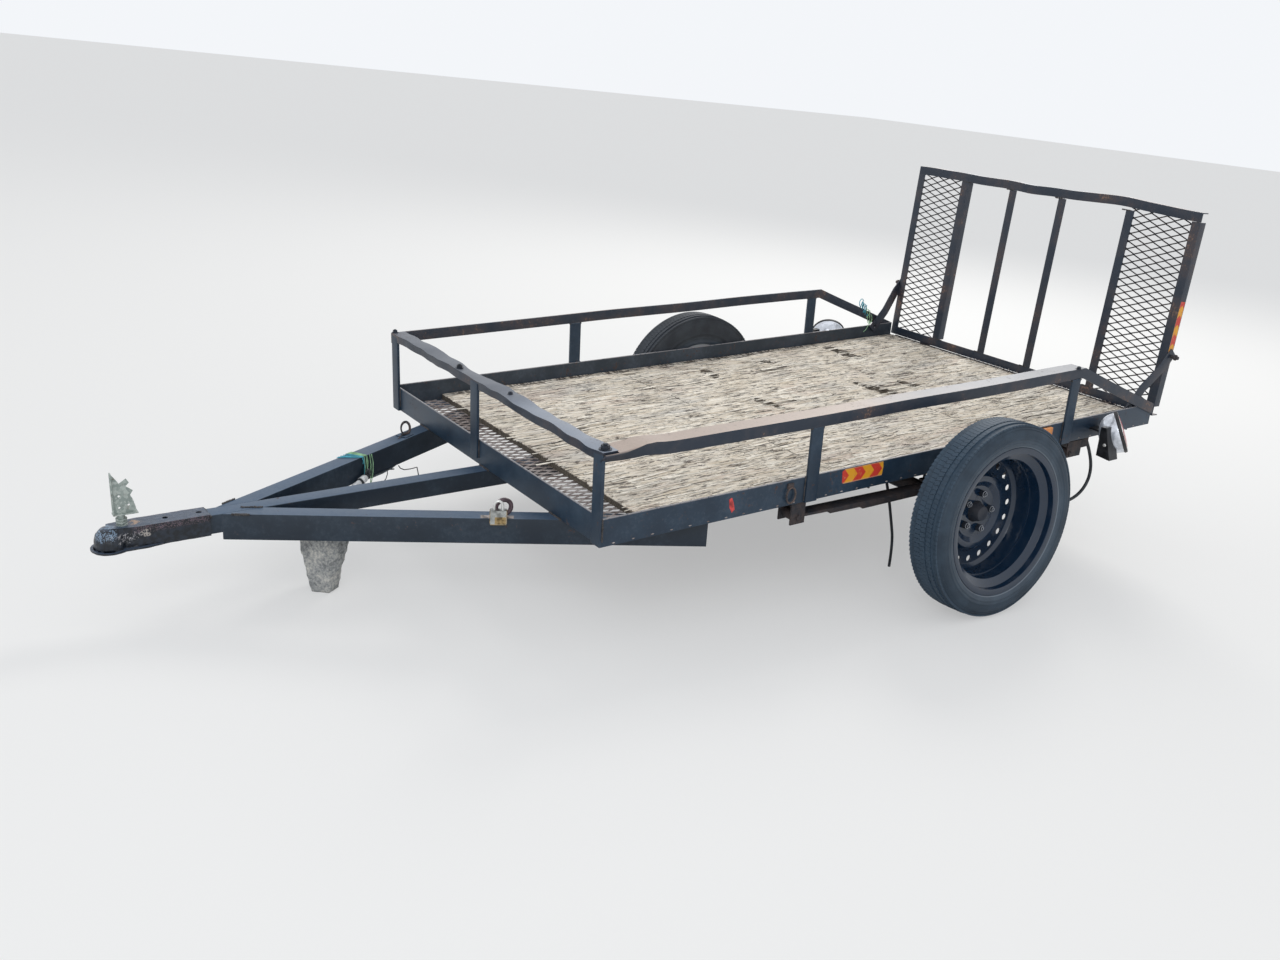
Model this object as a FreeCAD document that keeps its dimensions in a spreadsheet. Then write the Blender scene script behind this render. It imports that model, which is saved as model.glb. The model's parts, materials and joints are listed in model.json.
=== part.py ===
import FreeCAD, Part
import math
import os
import Sketcher
from FreeCAD import Placement, Rotation, Vector

# A home-made utility trailer: an angle-iron frame with a plywood deck over
# expanded metal, a low rail, an A-frame tongue that rests on a stone prop, one
# leaf-sprung axle and a rear ramp gate with two braces.
# Drawn level: X across (left side +), Y rearward from the front rail, Z up
# from the top edge of the side rails. The export turns it to the nose-down
# way it parks and moves the origin to the middle of its base.

doc = FreeCAD.newDocument("UtilityTrailer")
sheet = doc.addObject("Spreadsheet::Sheet", "Sizes")

# name, size: mm, degrees where the name says angle, a share of the length where it says share
SIZES = (
    ("frameWidth", 1270.0),
    ("frameLength", 2275.0),
    ("railLeg", 76.2),
    ("railWall", 4.8),
    ("crossLeg", 50.0),
    ("crossWall", 4.8),
    ("firstCross", 350.0),
    ("lastBay", 300.0),
    ("deckStart", 165.0),
    ("deckThick", 18.0),
    ("deckSideGap", 4.0),
    ("firstSeamShare", 0.38),
    ("secondSeamShare", 0.705),
    ("seamGap", 2.0),
    ("strandWide", 4.0),
    ("strandThick", 1.5),
    ("diamondLong", 60.0),
    ("diamondShort", 27.0),
    ("seatGap", 0.3),
    ("postWidth", 42.0),
    ("postThick", 8.0),
    ("frontMiddlePost", -75.0),
    ("frontPostLift", 20.0),
    ("midPost", 688.0),
    ("rearPost", 1806.0),
    ("topBarHeight", 176.0),
    ("frontBarWidth", 45.0),
    ("frontBarThick", 8.0),
    ("sideBarTall", 34.0),
    ("sideBarThick", 6.0),
    ("bendPlace", 1850.0),
    ("tongueWide", 50.8),
    ("tongueTall", 71.0),
    ("middleTall", 50.8),
    ("tongueLiftAngle", 0.65),
    ("tongueWall", 4.0),
    ("tongueSpread", 435.0),
    ("tongueApex", 39.0),
    ("tongueReach", 733.0),
    ("tongueTail", 345.0),
    ("centreReach", 900.0),
    ("noseAhead", 158.0),
    ("couplerLap", 113.0),
    ("couplerWall", 4.0),
    ("couplerTall", 57.0),
    ("couplerFlange", 9.0),
    ("noseRadius", 38.0),
    ("ballRadius", 25.8),
    ("boltHoleRadius", 6.6),
    ("frontHoleBack", 11.0),
    ("rearHoleBack", 93.0),
    ("latchWall", 3.0),
    ("latchStart", 48.0),
    ("latchFoot", 58.0),
    ("latchEdge", 9.0),
    ("latchLift", 30.0),
    ("latchStem", 9.0),
    ("socketRoof", 14.0),
    ("axlePlace", 1256.0),
    ("axleDrop", 175.0),
    ("axleRadius", 25.0),
    ("axleHalf", 668.0),
    ("leftTrack", 823.0),
    ("rightTrack", 696.0),
    ("leftCamberAngle", 3.6),
    ("rightCamberAngle", 1.4),
    ("spindleRadius", 15.0),
    ("bearingGap", 0.05),
    ("springHalf", 600.0),
    ("springPlace", 603.0),
    ("springRise", 10.0),
    ("leafWidth", 45.0),
    ("leafThick", 7.0),
    ("leafStep", 130.0),
    ("eyeRadius", 16.0),
    ("eyeBolt", 8.0),
    ("hangerPlate", 5.0),
    ("hangerLong", 52.0),
    ("shackleLean", 44.0),
    ("leftTyreRadius", 296.0),
    ("leftTyreHalf", 62.0),
    ("leftTreadHalf", 52.0),
    ("leftRimHalf", 56.0),
    ("leftSeatRadius", 212.0),
    ("leftDiscPlace", -70.0),
    ("rightTyreRadius", 287.9),
    ("rightTyreHalf", 50.0),
    ("rightTreadHalf", 43.0),
    ("rightRimHalf", 46.0),
    ("rightSeatRadius", 165.1),
    ("rightDiscPlace", 38.0),
    ("rimLip", 14.0),
    ("rimWall", 4.0),
    ("rimWell", 24.0),
    ("hubBarrel", 34.0),
    ("hubFlange", 72.0),
    ("flangeWall", 8.0),
    ("hubRadius", 32.0),
    ("studCircle", 57.15),
    ("studRadius", 6.0),
    ("gateHingeBack", 21.0),
    ("gateHingeDrop", 86.0),
    ("gateFoot", 38.0),
    ("gateTall", 702.0),
    ("gateHalf", 636.0),
    ("gateLeg", 32.0),
    ("gateWall", 3.6),
    ("gateLeanAngle", 4.1),
    ("studLong", 34.0),
    ("studHead", 10.0),
    ("studHeadStart", 20.0),
    ("leftUpright", 350.0),
    ("middleUprightLeft", 63.0),
    ("middleUprightRight", -164.0),
    ("rightUpright", -372.0),
    ("hingePinRadius", 6.0),
    ("hingeEyeRadius", 11.0),
    ("hingeEyeLong", 50.0),
    ("hingePlace", 450.0),
    ("braceWidth", 38.0),
    ("braceThick", 4.8),
    ("braceStud", 252.0),
    ("braceReach", 226.0),
    ("braceAngle", 48.0),
    ("joggleStart", 46.0),
    ("joggleEnd", 146.0),
    ("braceRailGap", 6.0),
    ("lampPlace", 1985.0),
    ("lampDrop", 45.0),
    ("lampOut", 71.0),
    ("lampRadius", 69.0),
    ("lampBoxWide", 52.0),
    ("markerDeep", 14.0),
    ("markerLong", 56.0),
    ("markerTall", 25.0),
    ("markerStart", 1664.0),
    ("markerLow", -30.0),
    ("propAhead", 484.0),
    ("propTopHalf", 58.0),
    ("propBaseHalf", 36.0),
    ("cableDiameter", 11.0),
    ("hoseDiameter", 9.0),
    ("glandRadius", 8.0),
    ("parkAngle", 3.8),
)


class Size:
    """A driving dimension, or one worked out from some: its value, and the
    formula that the document keeps for it."""

    def __init__(self, text, value):
        self.text = text
        self.value = value

    def _join(self, sign, other, value, swap=False):
        text = other.text if isinstance(other, Size) else f"{other:g}"
        pair = (text, self.text) if swap else (self.text, text)
        return Size(f"({pair[0]} {sign} {pair[1]})", value)

    def __add__(self, other):
        return self._join("+", other, self.value + float(other))

    def __radd__(self, other):
        return self._join("+", other, float(other) + self.value, True)

    def __sub__(self, other):
        return self._join("-", other, self.value - float(other))

    def __rsub__(self, other):
        return self._join("-", other, float(other) - self.value, True)

    def __mul__(self, other):
        return self._join("*", other, self.value * float(other))

    __rmul__ = __mul__

    def __truediv__(self, other):
        return self._join("/", other, self.value / float(other))

    def __neg__(self):
        return self * -1

    def __float__(self):
        return self.value


def formula(x):
    return x.text if isinstance(x, Size) else f"{x:g}"


for row, (name, size) in enumerate(SIZES, start=1):
    sheet.set(f"A{row}", name)
    sheet.set(f"B{row}", f"{size:g}")
    sheet.setAlias(f"B{row}", name)
doc.recompute()


class Sheet:
    """Reads a cell of the sheet by its name."""

    def __getattr__(self, name):
        return Size(f"<<Sizes>>.{name}", float(getattr(sheet, name)))


d = Sheet()
X_WAY = Vector(1, 0, 0)
Y_WAY = Vector(0, 1, 0)
Z_WAY = Vector(0, 0, 1)
SIDES = (("left", 1), ("right", -1))
nodes = []


def keep(part, label):
    part.Label = label
    nodes.append(part)
    return part


def object_name(label):
    return label.title().replace("_", "")


def turned(x_way, y_way):
    """The turn that lays a body's own X and Y along two ways."""
    return Rotation(x_way, y_way, x_way.cross(y_way), "ZXY")


def place(x, y, z, turn=None):
    return Placement(Vector(float(x), float(y), float(z)), turn or Rotation())


def pin_point(drawn, edge, end, x, y):
    for kind, distance in (("DistanceX", x), ("DistanceY", y)):
        held = drawn.addConstraint(Sketcher.Constraint(kind, -1, 1, edge, end, float(distance)))
        drawn.setExpression(f"Constraints[{held}]", formula(distance))


def arc_between(here, there, bulge):
    """The arc between two corners that stands out by bulge to the right of the
    way from the first to the second, given anticlockwise as a sketch keeps it."""
    chord = there - here
    middle = here + chord * 0.5 + Vector(chord.y, -chord.x, 0).normalize() * float(bulge)
    return Part.ArcOfCircle(here, middle, there) if float(bulge) > 0 else Part.ArcOfCircle(there, middle, here)


def outline(body, loops, role="XY_Plane", offset=None):
    """A sketch pinned by formulas. A loop is a circle [(x, y, radius)] or a list
    of corners (x, y), where (x, y, bulge) makes the side after it an arc."""
    drawn = body.newObject("Sketcher::SketchObject", f"{body.Name}Outline")
    plane = next(f for f in body.Origin.OriginFeatures if f.Role == role)
    drawn.AttachmentSupport = (plane, [""])
    drawn.MapMode = "FlatFace"
    if offset:
        drawn.AttachmentOffset = offset
    for loop in loops:
        if len(loop) == 1:
            x, y, radius = loop[0]
            ring = Part.Circle(Vector(float(x), float(y), 0), Z_WAY, float(radius))
            edge = drawn.addGeometry(ring, False)
            pin_point(drawn, edge, 3, x, y)
            held = drawn.addConstraint(Sketcher.Constraint("Radius", edge, float(radius)))
            drawn.setExpression(f"Constraints[{held}]", formula(radius))
            continue
        first = drawn.GeometryCount
        spots = [Vector(float(corner[0]), float(corner[1]), 0) for corner in loop]
        starts = []
        for i, corner in enumerate(loop):
            here, there = spots[i], spots[(i + 1) % len(spots)]
            if len(corner) == 3:
                after, bulge = loop[(i + 1) % len(loop)], corner[2]
                arc = arc_between(here, there, bulge)
                drawn.addGeometry(arc, False)
                starts.append((1, 2) if float(bulge) > 0 else (2, 1))
                held = drawn.addConstraint(Sketcher.Constraint("Radius", first + i, arc.Radius))
                across, up = after[0] - corner[0], after[1] - corner[1]
                radius = ((across * across + up * up) / 4 + bulge * bulge) / (bulge * 2)
                drawn.setExpression(f"Constraints[{held}]", f"abs({formula(radius)})")
            else:
                drawn.addGeometry(Part.LineSegment(here, there), False)
                starts.append((1, 2))
        for i, corner in enumerate(loop):
            before = (i - 1) % len(loop)
            join = Sketcher.Constraint("Coincident", first + before, starts[before][1], first + i, starts[i][0])
            drawn.addConstraint(join)
            pin_point(drawn, first + i, starts[i][0], corner[0], corner[1])
    return drawn


def new_body(label, where=None):
    body = doc.addObject("PartDesign::Body", object_name(label))
    body.Placement = where or Placement()
    return body


def add_pad(body, loops, length, both_ways=False, **drawing):
    push = body.newObject("PartDesign::Pad", f"{body.Name}Pad")
    push.Profile = outline(body, loops, **drawing)
    push.setExpression("Length", formula(length))
    push.Midplane = both_ways
    return push


def add_cut(body, loops, depth=None, reverse=False, both_ways=True, **drawing):
    """A pocket, right through both ways where no depth is given."""
    cut = body.newObject("PartDesign::Pocket", f"{body.Name}Cut")
    cut.Profile = outline(body, loops, **drawing)
    if depth is None:
        cut.Type = "ThroughAll"
        cut.Midplane = both_ways
    else:
        cut.setExpression("Length", formula(depth))
        cut.Reversed = reverse
    return cut


def ring_of(body, feature, count):
    """Copies of a feature round the body's own Z."""
    copies = body.newObject("PartDesign::PolarPattern", f"{body.Name}Ring")
    copies.Originals = [feature]
    copies.Axis = (next(f for f in body.Origin.OriginFeatures if f.Role == "Z_Axis"), [""])
    copies.Angle = 360
    copies.Occurrences = count
    body.Tip = copies
    return copies


def bar(label, loops, length, where, kept=True):
    body = new_body(label, where)
    add_pad(body, loops, length)
    return keep(body, label) if kept else body


def turned_ring(label, loops, where, kept=True):
    """A body turned about its own Z from a section drawn as (radius, place)."""
    body = new_body(label, where)
    add_turn(body, loops)
    return keep(body, label) if kept else body


def add_turn(body, loops):
    spin = body.newObject("PartDesign::Revolution", f"{body.Name}Turn")
    section = outline(body, loops, role="XZ_Plane")
    spin.Profile = section
    spin.ReferenceAxis = (section, ["V_Axis"])
    spin.Angle = 360


def angle_iron(leg, wall):
    """Rolled angle, its heel at the origin."""
    return [[(0, 0), (leg, 0), (leg, wall), (wall, wall), (wall, leg), (0, leg)]]


def block(x, y, x_size, y_size):
    return [[(x, y), (x + x_size, y), (x + x_size, y + y_size), (x, y + y_size)]]


def many_sided(middle, radius, sides):
    """A regular outline round a point."""
    turns = [math.tau * (i + 0.5) / sides for i in range(sides)]
    return [[(middle[0] + radius * math.cos(turn), middle[1] + radius * math.sin(turn)) for turn in turns]]


def tube_section(wide, tall, wall):
    return block(0, 0, wide, tall) + block(wall, wall, wide - wall * 2, tall - wall * 2)


def group(label, parts):
    """Like pieces on one body, as solids that don't touch."""
    whole = doc.addObject("Part::Compound", object_name(label))
    whole.Links = parts
    return keep(whole, label)


def joined(label, parts, kept=True):
    whole = doc.addObject("Part::MultiFuse", object_name(label))
    whole.Shapes = parts
    return keep(whole, label) if kept else whole


def cylinder(name, radius, length, where):
    rod = doc.addObject("Part::Cylinder", name)
    rod.setExpression("Radius", formula(radius))
    rod.setExpression("Height", formula(length))
    rod.Placement = where
    return rod


def box(name, sizes, where):
    solid = doc.addObject("Part::Box", name)
    for side, length in zip(("Length", "Width", "Height"), sizes):
        solid.setExpression(side, formula(length))
    solid.Placement = where
    return solid


half = d.frameWidth / 2
floor = d.railWall - d.railLeg
deck_low = floor + d.strandThick * 2 + d.seatGap * 3
first_seam = d.frameLength * float(d.firstSeamShare)
second_seam = d.frameLength * float(d.secondSeamShare)
ACROSS = turned(Y_WAY, Z_WAY)


# Frame: the standing legs are outside, the flat legs run inward at the bottom.
def make_frame():
    for side, way in SIDES:
        turn = turned(Vector(-way, 0, 0), Z_WAY)
        start = 0 if way > 0 else d.frameLength
        where = place(half * way, start, -d.railLeg, turn)
        bar(f"rail_{side}", angle_iron(d.railLeg, d.railWall), d.frameLength, where)
    between = d.frameWidth - d.railWall * 2
    inside = d.frameWidth - d.railLeg * 2
    front = new_body("rail_front", place(0, 0, -d.railLeg))
    add_pad(front, block(inside / -2, 0, inside, d.railLeg), d.railWall)
    standing = block(between / -2, 0, between, d.railWall)
    add_pad(front, standing, d.railLeg - d.railWall, offset=place(0, 0, d.railWall))
    keep(front, "rail_front")
    # cross angles hang from the flat legs, their tops level with them
    legs = angle_iron(d.crossLeg, d.crossWall)
    turn = turned(Y_WAY, -Z_WAY)
    count = 6
    pitch = (d.frameLength - d.firstCross - d.lastBay) / (count - 1)
    crosses = [
        bar("cross", legs, inside, place(inside / 2, d.firstCross + pitch * i, floor, turn), kept=False)
        for i in range(count)
    ]
    group("cross_members", crosses)
    back = turned(-Y_WAY, -Z_WAY)
    bar("rail_rear", legs, inside, place(inside / -2, d.frameLength, floor, back))


# Low rail: flat bars on flat posts that are welded outside the frame.
def make_low_rail():
    width, thick = d.postWidth, d.postThick
    tall = d.railLeg + d.topBarHeight - d.frontBarThick
    spots = (("left", half - width, 0), ("right", -half, 0), ("middle", d.frontMiddlePost, d.frontPostLift))
    for name, x, lift in spots:
        where = place(x, -thick, lift - d.railLeg)
        bar(f"post_front_{name}", block(0, 0, width, thick), tall - lift, where)
    side_tall = d.railLeg + d.topBarHeight - d.sideBarTall
    for side, way in SIDES:
        x = half if way > 0 else -half - thick
        for name, y in (("middle", d.midPost), ("rear", d.rearPost)):
            where = place(x, y - width / 2, -d.railLeg)
            bar(f"post_{name}_{side}", block(0, 0, thick, width), side_tall, where)
    top = d.topBarHeight
    where = place(-half, -thick, top - d.frontBarThick)
    bar("top_bar_front", block(0, 0, d.frameWidth, d.frontBarWidth), d.frontBarThick, where)
    run = d.frameLength - d.bendPlace
    low = top - d.sideBarTall
    strip = [
        (-thick, top),
        (-thick, low),
        (d.bendPlace - d.sideBarTall / 5, low),
        (d.frameLength, -d.sideBarTall * 1.1),
        (d.frameLength, 0),
        (d.bendPlace, top),
    ]
    turn = turned(Y_WAY, Z_WAY)
    for side, way in SIDES:
        x = half if way > 0 else -half - d.sideBarThick
        bar(f"top_bar_{side}", [strip], d.sideBarThick, place(x, 0, 0, turn))


def strands(wide, long, slope_long, slope_short):
    """Straight strands that cross a panel one way: their two ends, clipped to it."""
    angle = math.atan2(slope_short, slope_long)
    run, rise = math.cos(angle), math.sin(angle)
    inset = float(d.strandWide)
    low_x, high_x, low_y, high_y = inset, wide - inset, inset, long - inset
    count = int((wide * rise + long * run) / (slope_short * run)) + 2
    for i in range(-count, count + 1):
        start_y = i * slope_short
        near = [(low_x, start_y + low_x * rise / run), (high_x, start_y + high_x * rise / run)]
        ends = []
        for (x, y) in near:
            y_in = min(max(y, low_y), high_y)
            ends.append(Vector((y_in - start_y) * run / rise, y_in, 0))
        if (ends[1] - ends[0]).Length > 6 * inset:
            yield ends[0], ends[1]


def mesh_panel(wide, long, long_way_x=True):
    """Expanded metal as two layers of straight strands, which cross as its
    diamonds do; a corner at the origin, X and Y its sides."""
    thick, width = float(d.strandThick), float(d.strandWide)
    big, small = float(d.diamondLong), float(d.diamondShort)
    across = (big, small) if long_way_x else (small, big)
    solids = []
    for layer, mirror in ((0, False), (1, True)):
        for start, end in strands(wide, long, *across):
            if mirror:
                start, end = Vector(wide - start.x, start.y, 0), Vector(wide - end.x, end.y, 0)
            run = end - start
            side = Vector(-run.y, run.x, 0).normalize() * (width / 2)
            corners = [start - side, end - side, end + side, start + side]
            face = Part.Face(Part.makePolygon(corners + corners[:1]))
            strand = face.extrude(Vector(0, 0, thick))
            strand.translate(Vector(0, 0, layer * (thick + float(d.seatGap))))
            solids.append(strand)
    return Part.makeCompound(solids)


def mesh_node(label, wide, long, where, long_way_x=True):
    part = doc.addObject("Part::Feature", object_name(label))
    part.Shape = mesh_panel(float(wide), float(long), long_way_x)
    part.Placement = where
    return keep(part, label)


def make_deck():
    wide = d.frameWidth - d.railWall * 2 - d.deckSideGap * 2
    panels = (
        ("front", d.deckStart, first_seam - d.seamGap / 2),
        ("middle", first_seam + d.seamGap / 2, second_seam - d.seamGap / 2),
        ("rear", second_seam + d.seamGap / 2, d.frameLength - d.deckSideGap),
    )
    for name, start, end in panels:
        bar(f"deck_{name}", block(0, 0, wide, end - start), d.deckThick, place(wide / -2, start, deck_low))
    long = d.frameLength - d.railWall
    mesh_node("deck_mesh", wide, long, place(wide / -2, d.railWall, floor + d.seatGap), long_way_x=False)


# Tongue: three box tubes under the front rail, which meet at the coupler. It is
# bent up a little, so all of it is drawn level and lifted about the rail's foot.
def on_tongue(where):
    foot = Vector(0, 0, -float(d.railLeg))
    lift = Placement(foot, Rotation(X_WAY, -float(d.tongueLiftAngle))) * Placement(-foot, Rotation())
    return lift * where


def make_tongue():
    wide, tall, wall = d.tongueWide, d.tongueTall, d.tongueWall
    section = tube_section(wide, tall, wall)
    low = -d.railLeg - tall
    rise, run = d.tongueSpread - d.tongueApex, d.tongueReach
    slant = math.atan2(float(rise), float(run))
    spare = wide * 1.2
    reach = (d.tongueReach + d.tongueTail) / math.cos(slant) + spare
    cut_tall = tall * 2
    cut_low = low - tall / 2
    for side, way in SIDES:
        along = Vector(way * math.sin(slant), math.cos(slant), 0)
        out = Vector(way * math.cos(slant), -math.sin(slant), 0)
        heel = Vector(way * float(d.tongueApex), -float(d.tongueReach), float(low)) - along * float(spare / 2)
        start = heel if way > 0 else heel + along * float(reach)
        where = on_tongue(Placement(start, turned(-out, Z_WAY)))
        tube = bar(f"slant_tube_{side}", section, reach, where, kept=False)
        # the front end is cut along the middle tube, the back end square to the frame
        room = run / 2
        inner = wide / 2
        x = inner - room if way > 0 else -inner
        front = on_tongue(place(x, -run - room, cut_low))
        middle_cut = box(f"ApexCut{side.title()}", (room, room * 2, cut_tall), front)
        back = on_tongue(place(-d.frameWidth, d.tongueTail, cut_low))
        tail_cut = box(f"TailCut{side.title()}", (d.frameWidth * 2, room, cut_tall), back)
        cutters = joined(f"tube_cut_{side}", [middle_cut, tail_cut], kept=False)
        cut = doc.addObject("Part::Cut", object_name(f"tongue_{side}"))
        cut.Base, cut.Tool = tube, cutters
        keep(cut, f"tongue_{side}")
    low = -d.railLeg - d.middleTall
    where = on_tongue(place(wide / 2, -d.centreReach, low, turned(-X_WAY, Z_WAY)))
    bar("tongue_middle", tube_section(wide, d.middleTall, wall), d.centreReach + d.tongueTail, where)


# Coupler: a stamped channel over the middle tube, which ends in a ball housing
# with a flange round its foot.
coupler_top = d.seatGap + d.couplerWall - d.railLeg
nose = d.noseRadius - d.noseAhead - d.centreReach
front_hole = d.frontHoleBack - d.centreReach
rear_hole = d.rearHoleBack - d.centreReach

# the latch's side plate: back from its front edge, and up
LATCH_PLATE = (
    (0, 0), (56, 0), (54, 15), (49, 34), (44, 45), (51, 56), (35, 69), (44, 77),
    (38, 88), (21, 77), (17, 84), (1, 108), (0, 108),
)
LATCH_HOLES = ((18, 45), (39, 20), (17, 15))


def make_coupler():
    wall, tall, radius, flange = d.couplerWall, d.couplerTall, d.noseRadius, d.couplerFlange
    back = d.couplerLap - d.centreReach
    half_in = d.tongueWide / 2 + d.seatGap
    half_out = half_in + wall
    neck = nose + radius * 1.6
    brow = nose - radius / 8
    body = new_body("coupler", on_tongue(place(0, 0, coupler_top - tall)))
    sides = [
        (-half_out, back), (-half_out, neck), (radius / -2, brow),
        (radius / 2, brow), (half_out, neck), (half_out, back),
    ]
    add_pad(body, [sides], tall)
    ledge = half_out + flange
    flare = [
        (-half_out, front_hole), (-ledge, neck + radius / 2), (-radius, nose),
        (radius, nose), (ledge, neck + radius / 2), (half_out, front_hole),
    ]
    add_pad(body, [flare], wall)
    add_pad(body, [[(0, nose, radius + flange)]], wall)
    shell = body.newObject("PartDesign::Revolution", "CouplerDome")
    dome = [
        (0, 0), (radius, 0), (radius, tall * 0.4), (radius * 0.88, tall * 0.68),
        (radius * 0.6, tall * 0.9), (radius * 0.25, tall), (0, tall),
    ]
    shell.Profile = outline(body, [dome], role="XZ_Plane", offset=place(0, 0, -nose))
    shell.ReferenceAxis = (shell.Profile[0], ["V_Axis"])
    shell.Angle = 360
    hollow_end = neck - wall * 1.5
    hollow = block(-half_in, hollow_end, half_in * 2, back - hollow_end + wall)
    add_cut(body, hollow, tall - wall, reverse=True)
    add_cut(body, [[(0, nose, d.ballRadius)]], tall - wall - d.socketRoof, reverse=True)
    add_cut(body, [[(0, front_hole, d.boltHoleRadius)], [(0, rear_hole, d.boltHoleRadius)]])
    keep(body, "coupler")
    # the latch stands on its stem behind the ball housing
    thick, start = d.latchWall, -d.centreReach - d.noseAhead + d.latchStart
    low = coupler_top + d.latchLift
    plate = bar("latch_plate", [list(LATCH_PLATE)], thick, on_tongue(place(0, start, low, ACROSS)), kept=False)
    for hole in LATCH_HOLES:
        add_cut(plate, many_sided(hole, thick, 8))
    edge_tall = LATCH_PLATE[-1][1]
    edge = box("LatchEdge", (d.latchEdge, thick, edge_tall), on_tongue(place(0, start, low)))
    foot_at = on_tongue(place(-d.latchEdge, start, low - thick / 2))
    foot = box("LatchFoot", (d.latchEdge * 2.4, d.latchFoot, thick), foot_at)
    stem_y = start + d.latchFoot / 3
    stem = cylinder("LatchStem", d.latchStem, d.latchLift, on_tongue(place(0, stem_y, coupler_top)))
    rings = []
    for i in range(3):
        at_ring = on_tongue(place(0, stem_y, coupler_top + thick * 2.5 * i))
        rings.append(cylinder(f"LatchRing{i}", d.latchStem * 1.5, thick, at_ring))
    joined("coupler_latch", [plate, edge, foot, stem] + rings)


# Axle: a tube under the springs, bent so that each wheel leans in at the top.
axle_z = -d.axleDrop


def sized(side, name):
    return getattr(d, side + name)


def wheel_place(side, way):
    """A wheel's own frame: its middle, with its Z outward along the spindle."""
    camber = math.radians(float(sized(side, "CamberAngle")))
    track = sized(side, "Track")
    out = Vector(way * math.cos(camber), 0, math.sin(camber))
    height = axle_z + (track - d.axleHalf) * math.tan(camber)
    return place(track * way, d.axlePlace, height, turned(Y_WAY, out.cross(Y_WAY)))


def hub_face(side):
    """Where a hub's flange meets the back of its disc, along the spindle."""
    return sized(side, "DiscPlace") + DISCS[side][-1][1]


def make_axle():
    start = place(-d.axleHalf, d.axlePlace, axle_z, turned(Y_WAY, Z_WAY))
    parts = [cylinder("AxleBeam", d.axleRadius, d.axleHalf * 2, start)]
    for side, way in SIDES:
        inner = sized(side, "Track") - d.axleHalf + d.axleRadius / 2
        where = wheel_place(side, way) * place(0, 0, -inner)
        length = inner + hub_face(side) + d.spindleRadius
        parts.append(cylinder(f"Spindle{side.title()}", d.spindleRadius, length, where))
    joined("axle", parts)


def make_springs():
    base = axle_z + d.axleRadius
    rise, thick, leaf_half = d.springRise, d.leafThick, d.springHalf
    eye_z = base + thick * 2.5 + rise
    bore = d.eyeBolt + d.seatGap
    for side, way in SIDES:
        where = place(d.springPlace * way - d.leafWidth / 2, d.axlePlace, 0, ACROSS)
        parts = []
        for i in range(3):
            reach = leaf_half - d.leafStep * (2 - i)
            share = float(reach) / float(leaf_half)
            lift = rise * share * share
            low = base + thick * i + lift
            leaf = [(-reach, low, lift), (reach, low), (reach, low + thick, -lift), (-reach, low + thick)]
            parts.append(bar(f"Leaf{side.title()}{i}", [leaf], d.leafWidth, where, kept=False))
        for end, y in (("Front", -leaf_half), ("Rear", leaf_half)):
            ring = [[(y, eye_z, d.eyeRadius)], [(y, eye_z, bore)]]
            parts.append(bar(f"Eye{side.title()}{end}", ring, d.leafWidth, where, kept=False))
        joined_leaves = joined(f"leaves_{side}", parts, kept=False)
        bores = [
            cylinder(f"Bore{side.title()}{i}", bore, d.leafWidth * 2, where * place(y, eye_z, d.leafWidth / -2))
            for i, y in enumerate((-leaf_half, leaf_half))
        ]
        spring = doc.addObject("Part::Cut", object_name(f"spring_{side}"))
        spring.Base, spring.Tool = joined_leaves, joined(f"eye_bores_{side}", bores, kept=False)
        keep(spring, f"spring_{side}")
        make_hangers(side, way, eye_z)
        make_clamp(side, way, base)


def make_hangers(side, way, eye_z):
    """Bolted eyes: a hanger at the front, a hanger and a swinging shackle behind."""
    top = -d.railLeg
    plate, long = d.hangerPlate, d.hangerLong
    outer = d.leafWidth / 2 + d.seatGap
    front_y = d.axlePlace - d.springHalf
    eye_y = d.axlePlace + d.springHalf
    pin_y = eye_y + d.shackleLean
    pin_z = top - 18
    drop = top - eye_z + d.eyeRadius + 4
    centre = d.springPlace * way

    def cheeks(name, y_start, wide, low, tall, gap):
        pair = []
        for i, x in enumerate((centre - gap - plate, centre + gap)):
            pair.append(box(f"{name}{side.title()}{i}", (plate, wide, tall), place(x, y_start, low)))
        return pair

    def bolt(name, y, z, reach):
        return cylinder(f"{name}{side.title()}", d.eyeBolt, reach * 2, place(centre - reach, y, z, ACROSS))

    front = cheeks("FrontCheek", front_y - long / 2, long, top - drop, drop, outer)
    bolt_reach = outer + plate + 7
    joined(f"hanger_front_{side}", front + [bolt("FrontBolt", front_y, eye_z, bolt_reach)])
    margin = 14
    link_sizes = (d.shackleLean + margin * 2, eye_z - margin, pin_z - eye_z + margin * 2)
    link = cheeks("Link", eye_y - margin, *link_sizes, outer)
    joined(f"shackle_{side}", link + [bolt("EyeBolt", eye_y, eye_z, bolt_reach)])
    behind, foot = pin_y + margin + d.seatGap, pin_z - 16
    rear = cheeks("RearCheek", behind, long - 18, foot, top - foot, outer)
    wide = (outer + plate) * 2
    saddle = box(f"Saddle{side.title()}", (wide, 12, top - foot), place(centre - wide / 2, behind, foot))
    joined(f"hanger_rear_{side}", rear + [saddle])


def make_clamp(side, way, base):
    """The plate and the two bent bolts that clamp a spring on the axle."""
    thick, gap, rod = 8, d.seatGap, 5
    x_half, y_half = d.leafWidth / 2 + 14, 48
    top = base + d.leafThick * 3
    centre = d.springPlace * way
    sizes = (x_half * 2, y_half * 2, thick)
    under = axle_z - d.axleRadius
    parts = []
    for name, z in (("Plate", top + gap), ("Foot", under - gap - thick)):
        corner = place(centre - x_half, d.axlePlace - y_half, z)
        parts.append(box(f"Clamp{name}{side.title()}", sizes, corner))
    low = under - thick - rod
    for i, y in enumerate((-d.axleRadius - thick, d.axleRadius + thick)):
        for j, x in enumerate((-1, 1)):
            spot = place(centre + (d.leafWidth / 2 + rod + 1) * x, d.axlePlace + y, low)
            parts.append(cylinder(f"ClampRod{side.title()}{i}{j}", rod, top - low + rod * 4, spot))
    joined(f"spring_clamp_{side}", parts)


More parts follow.
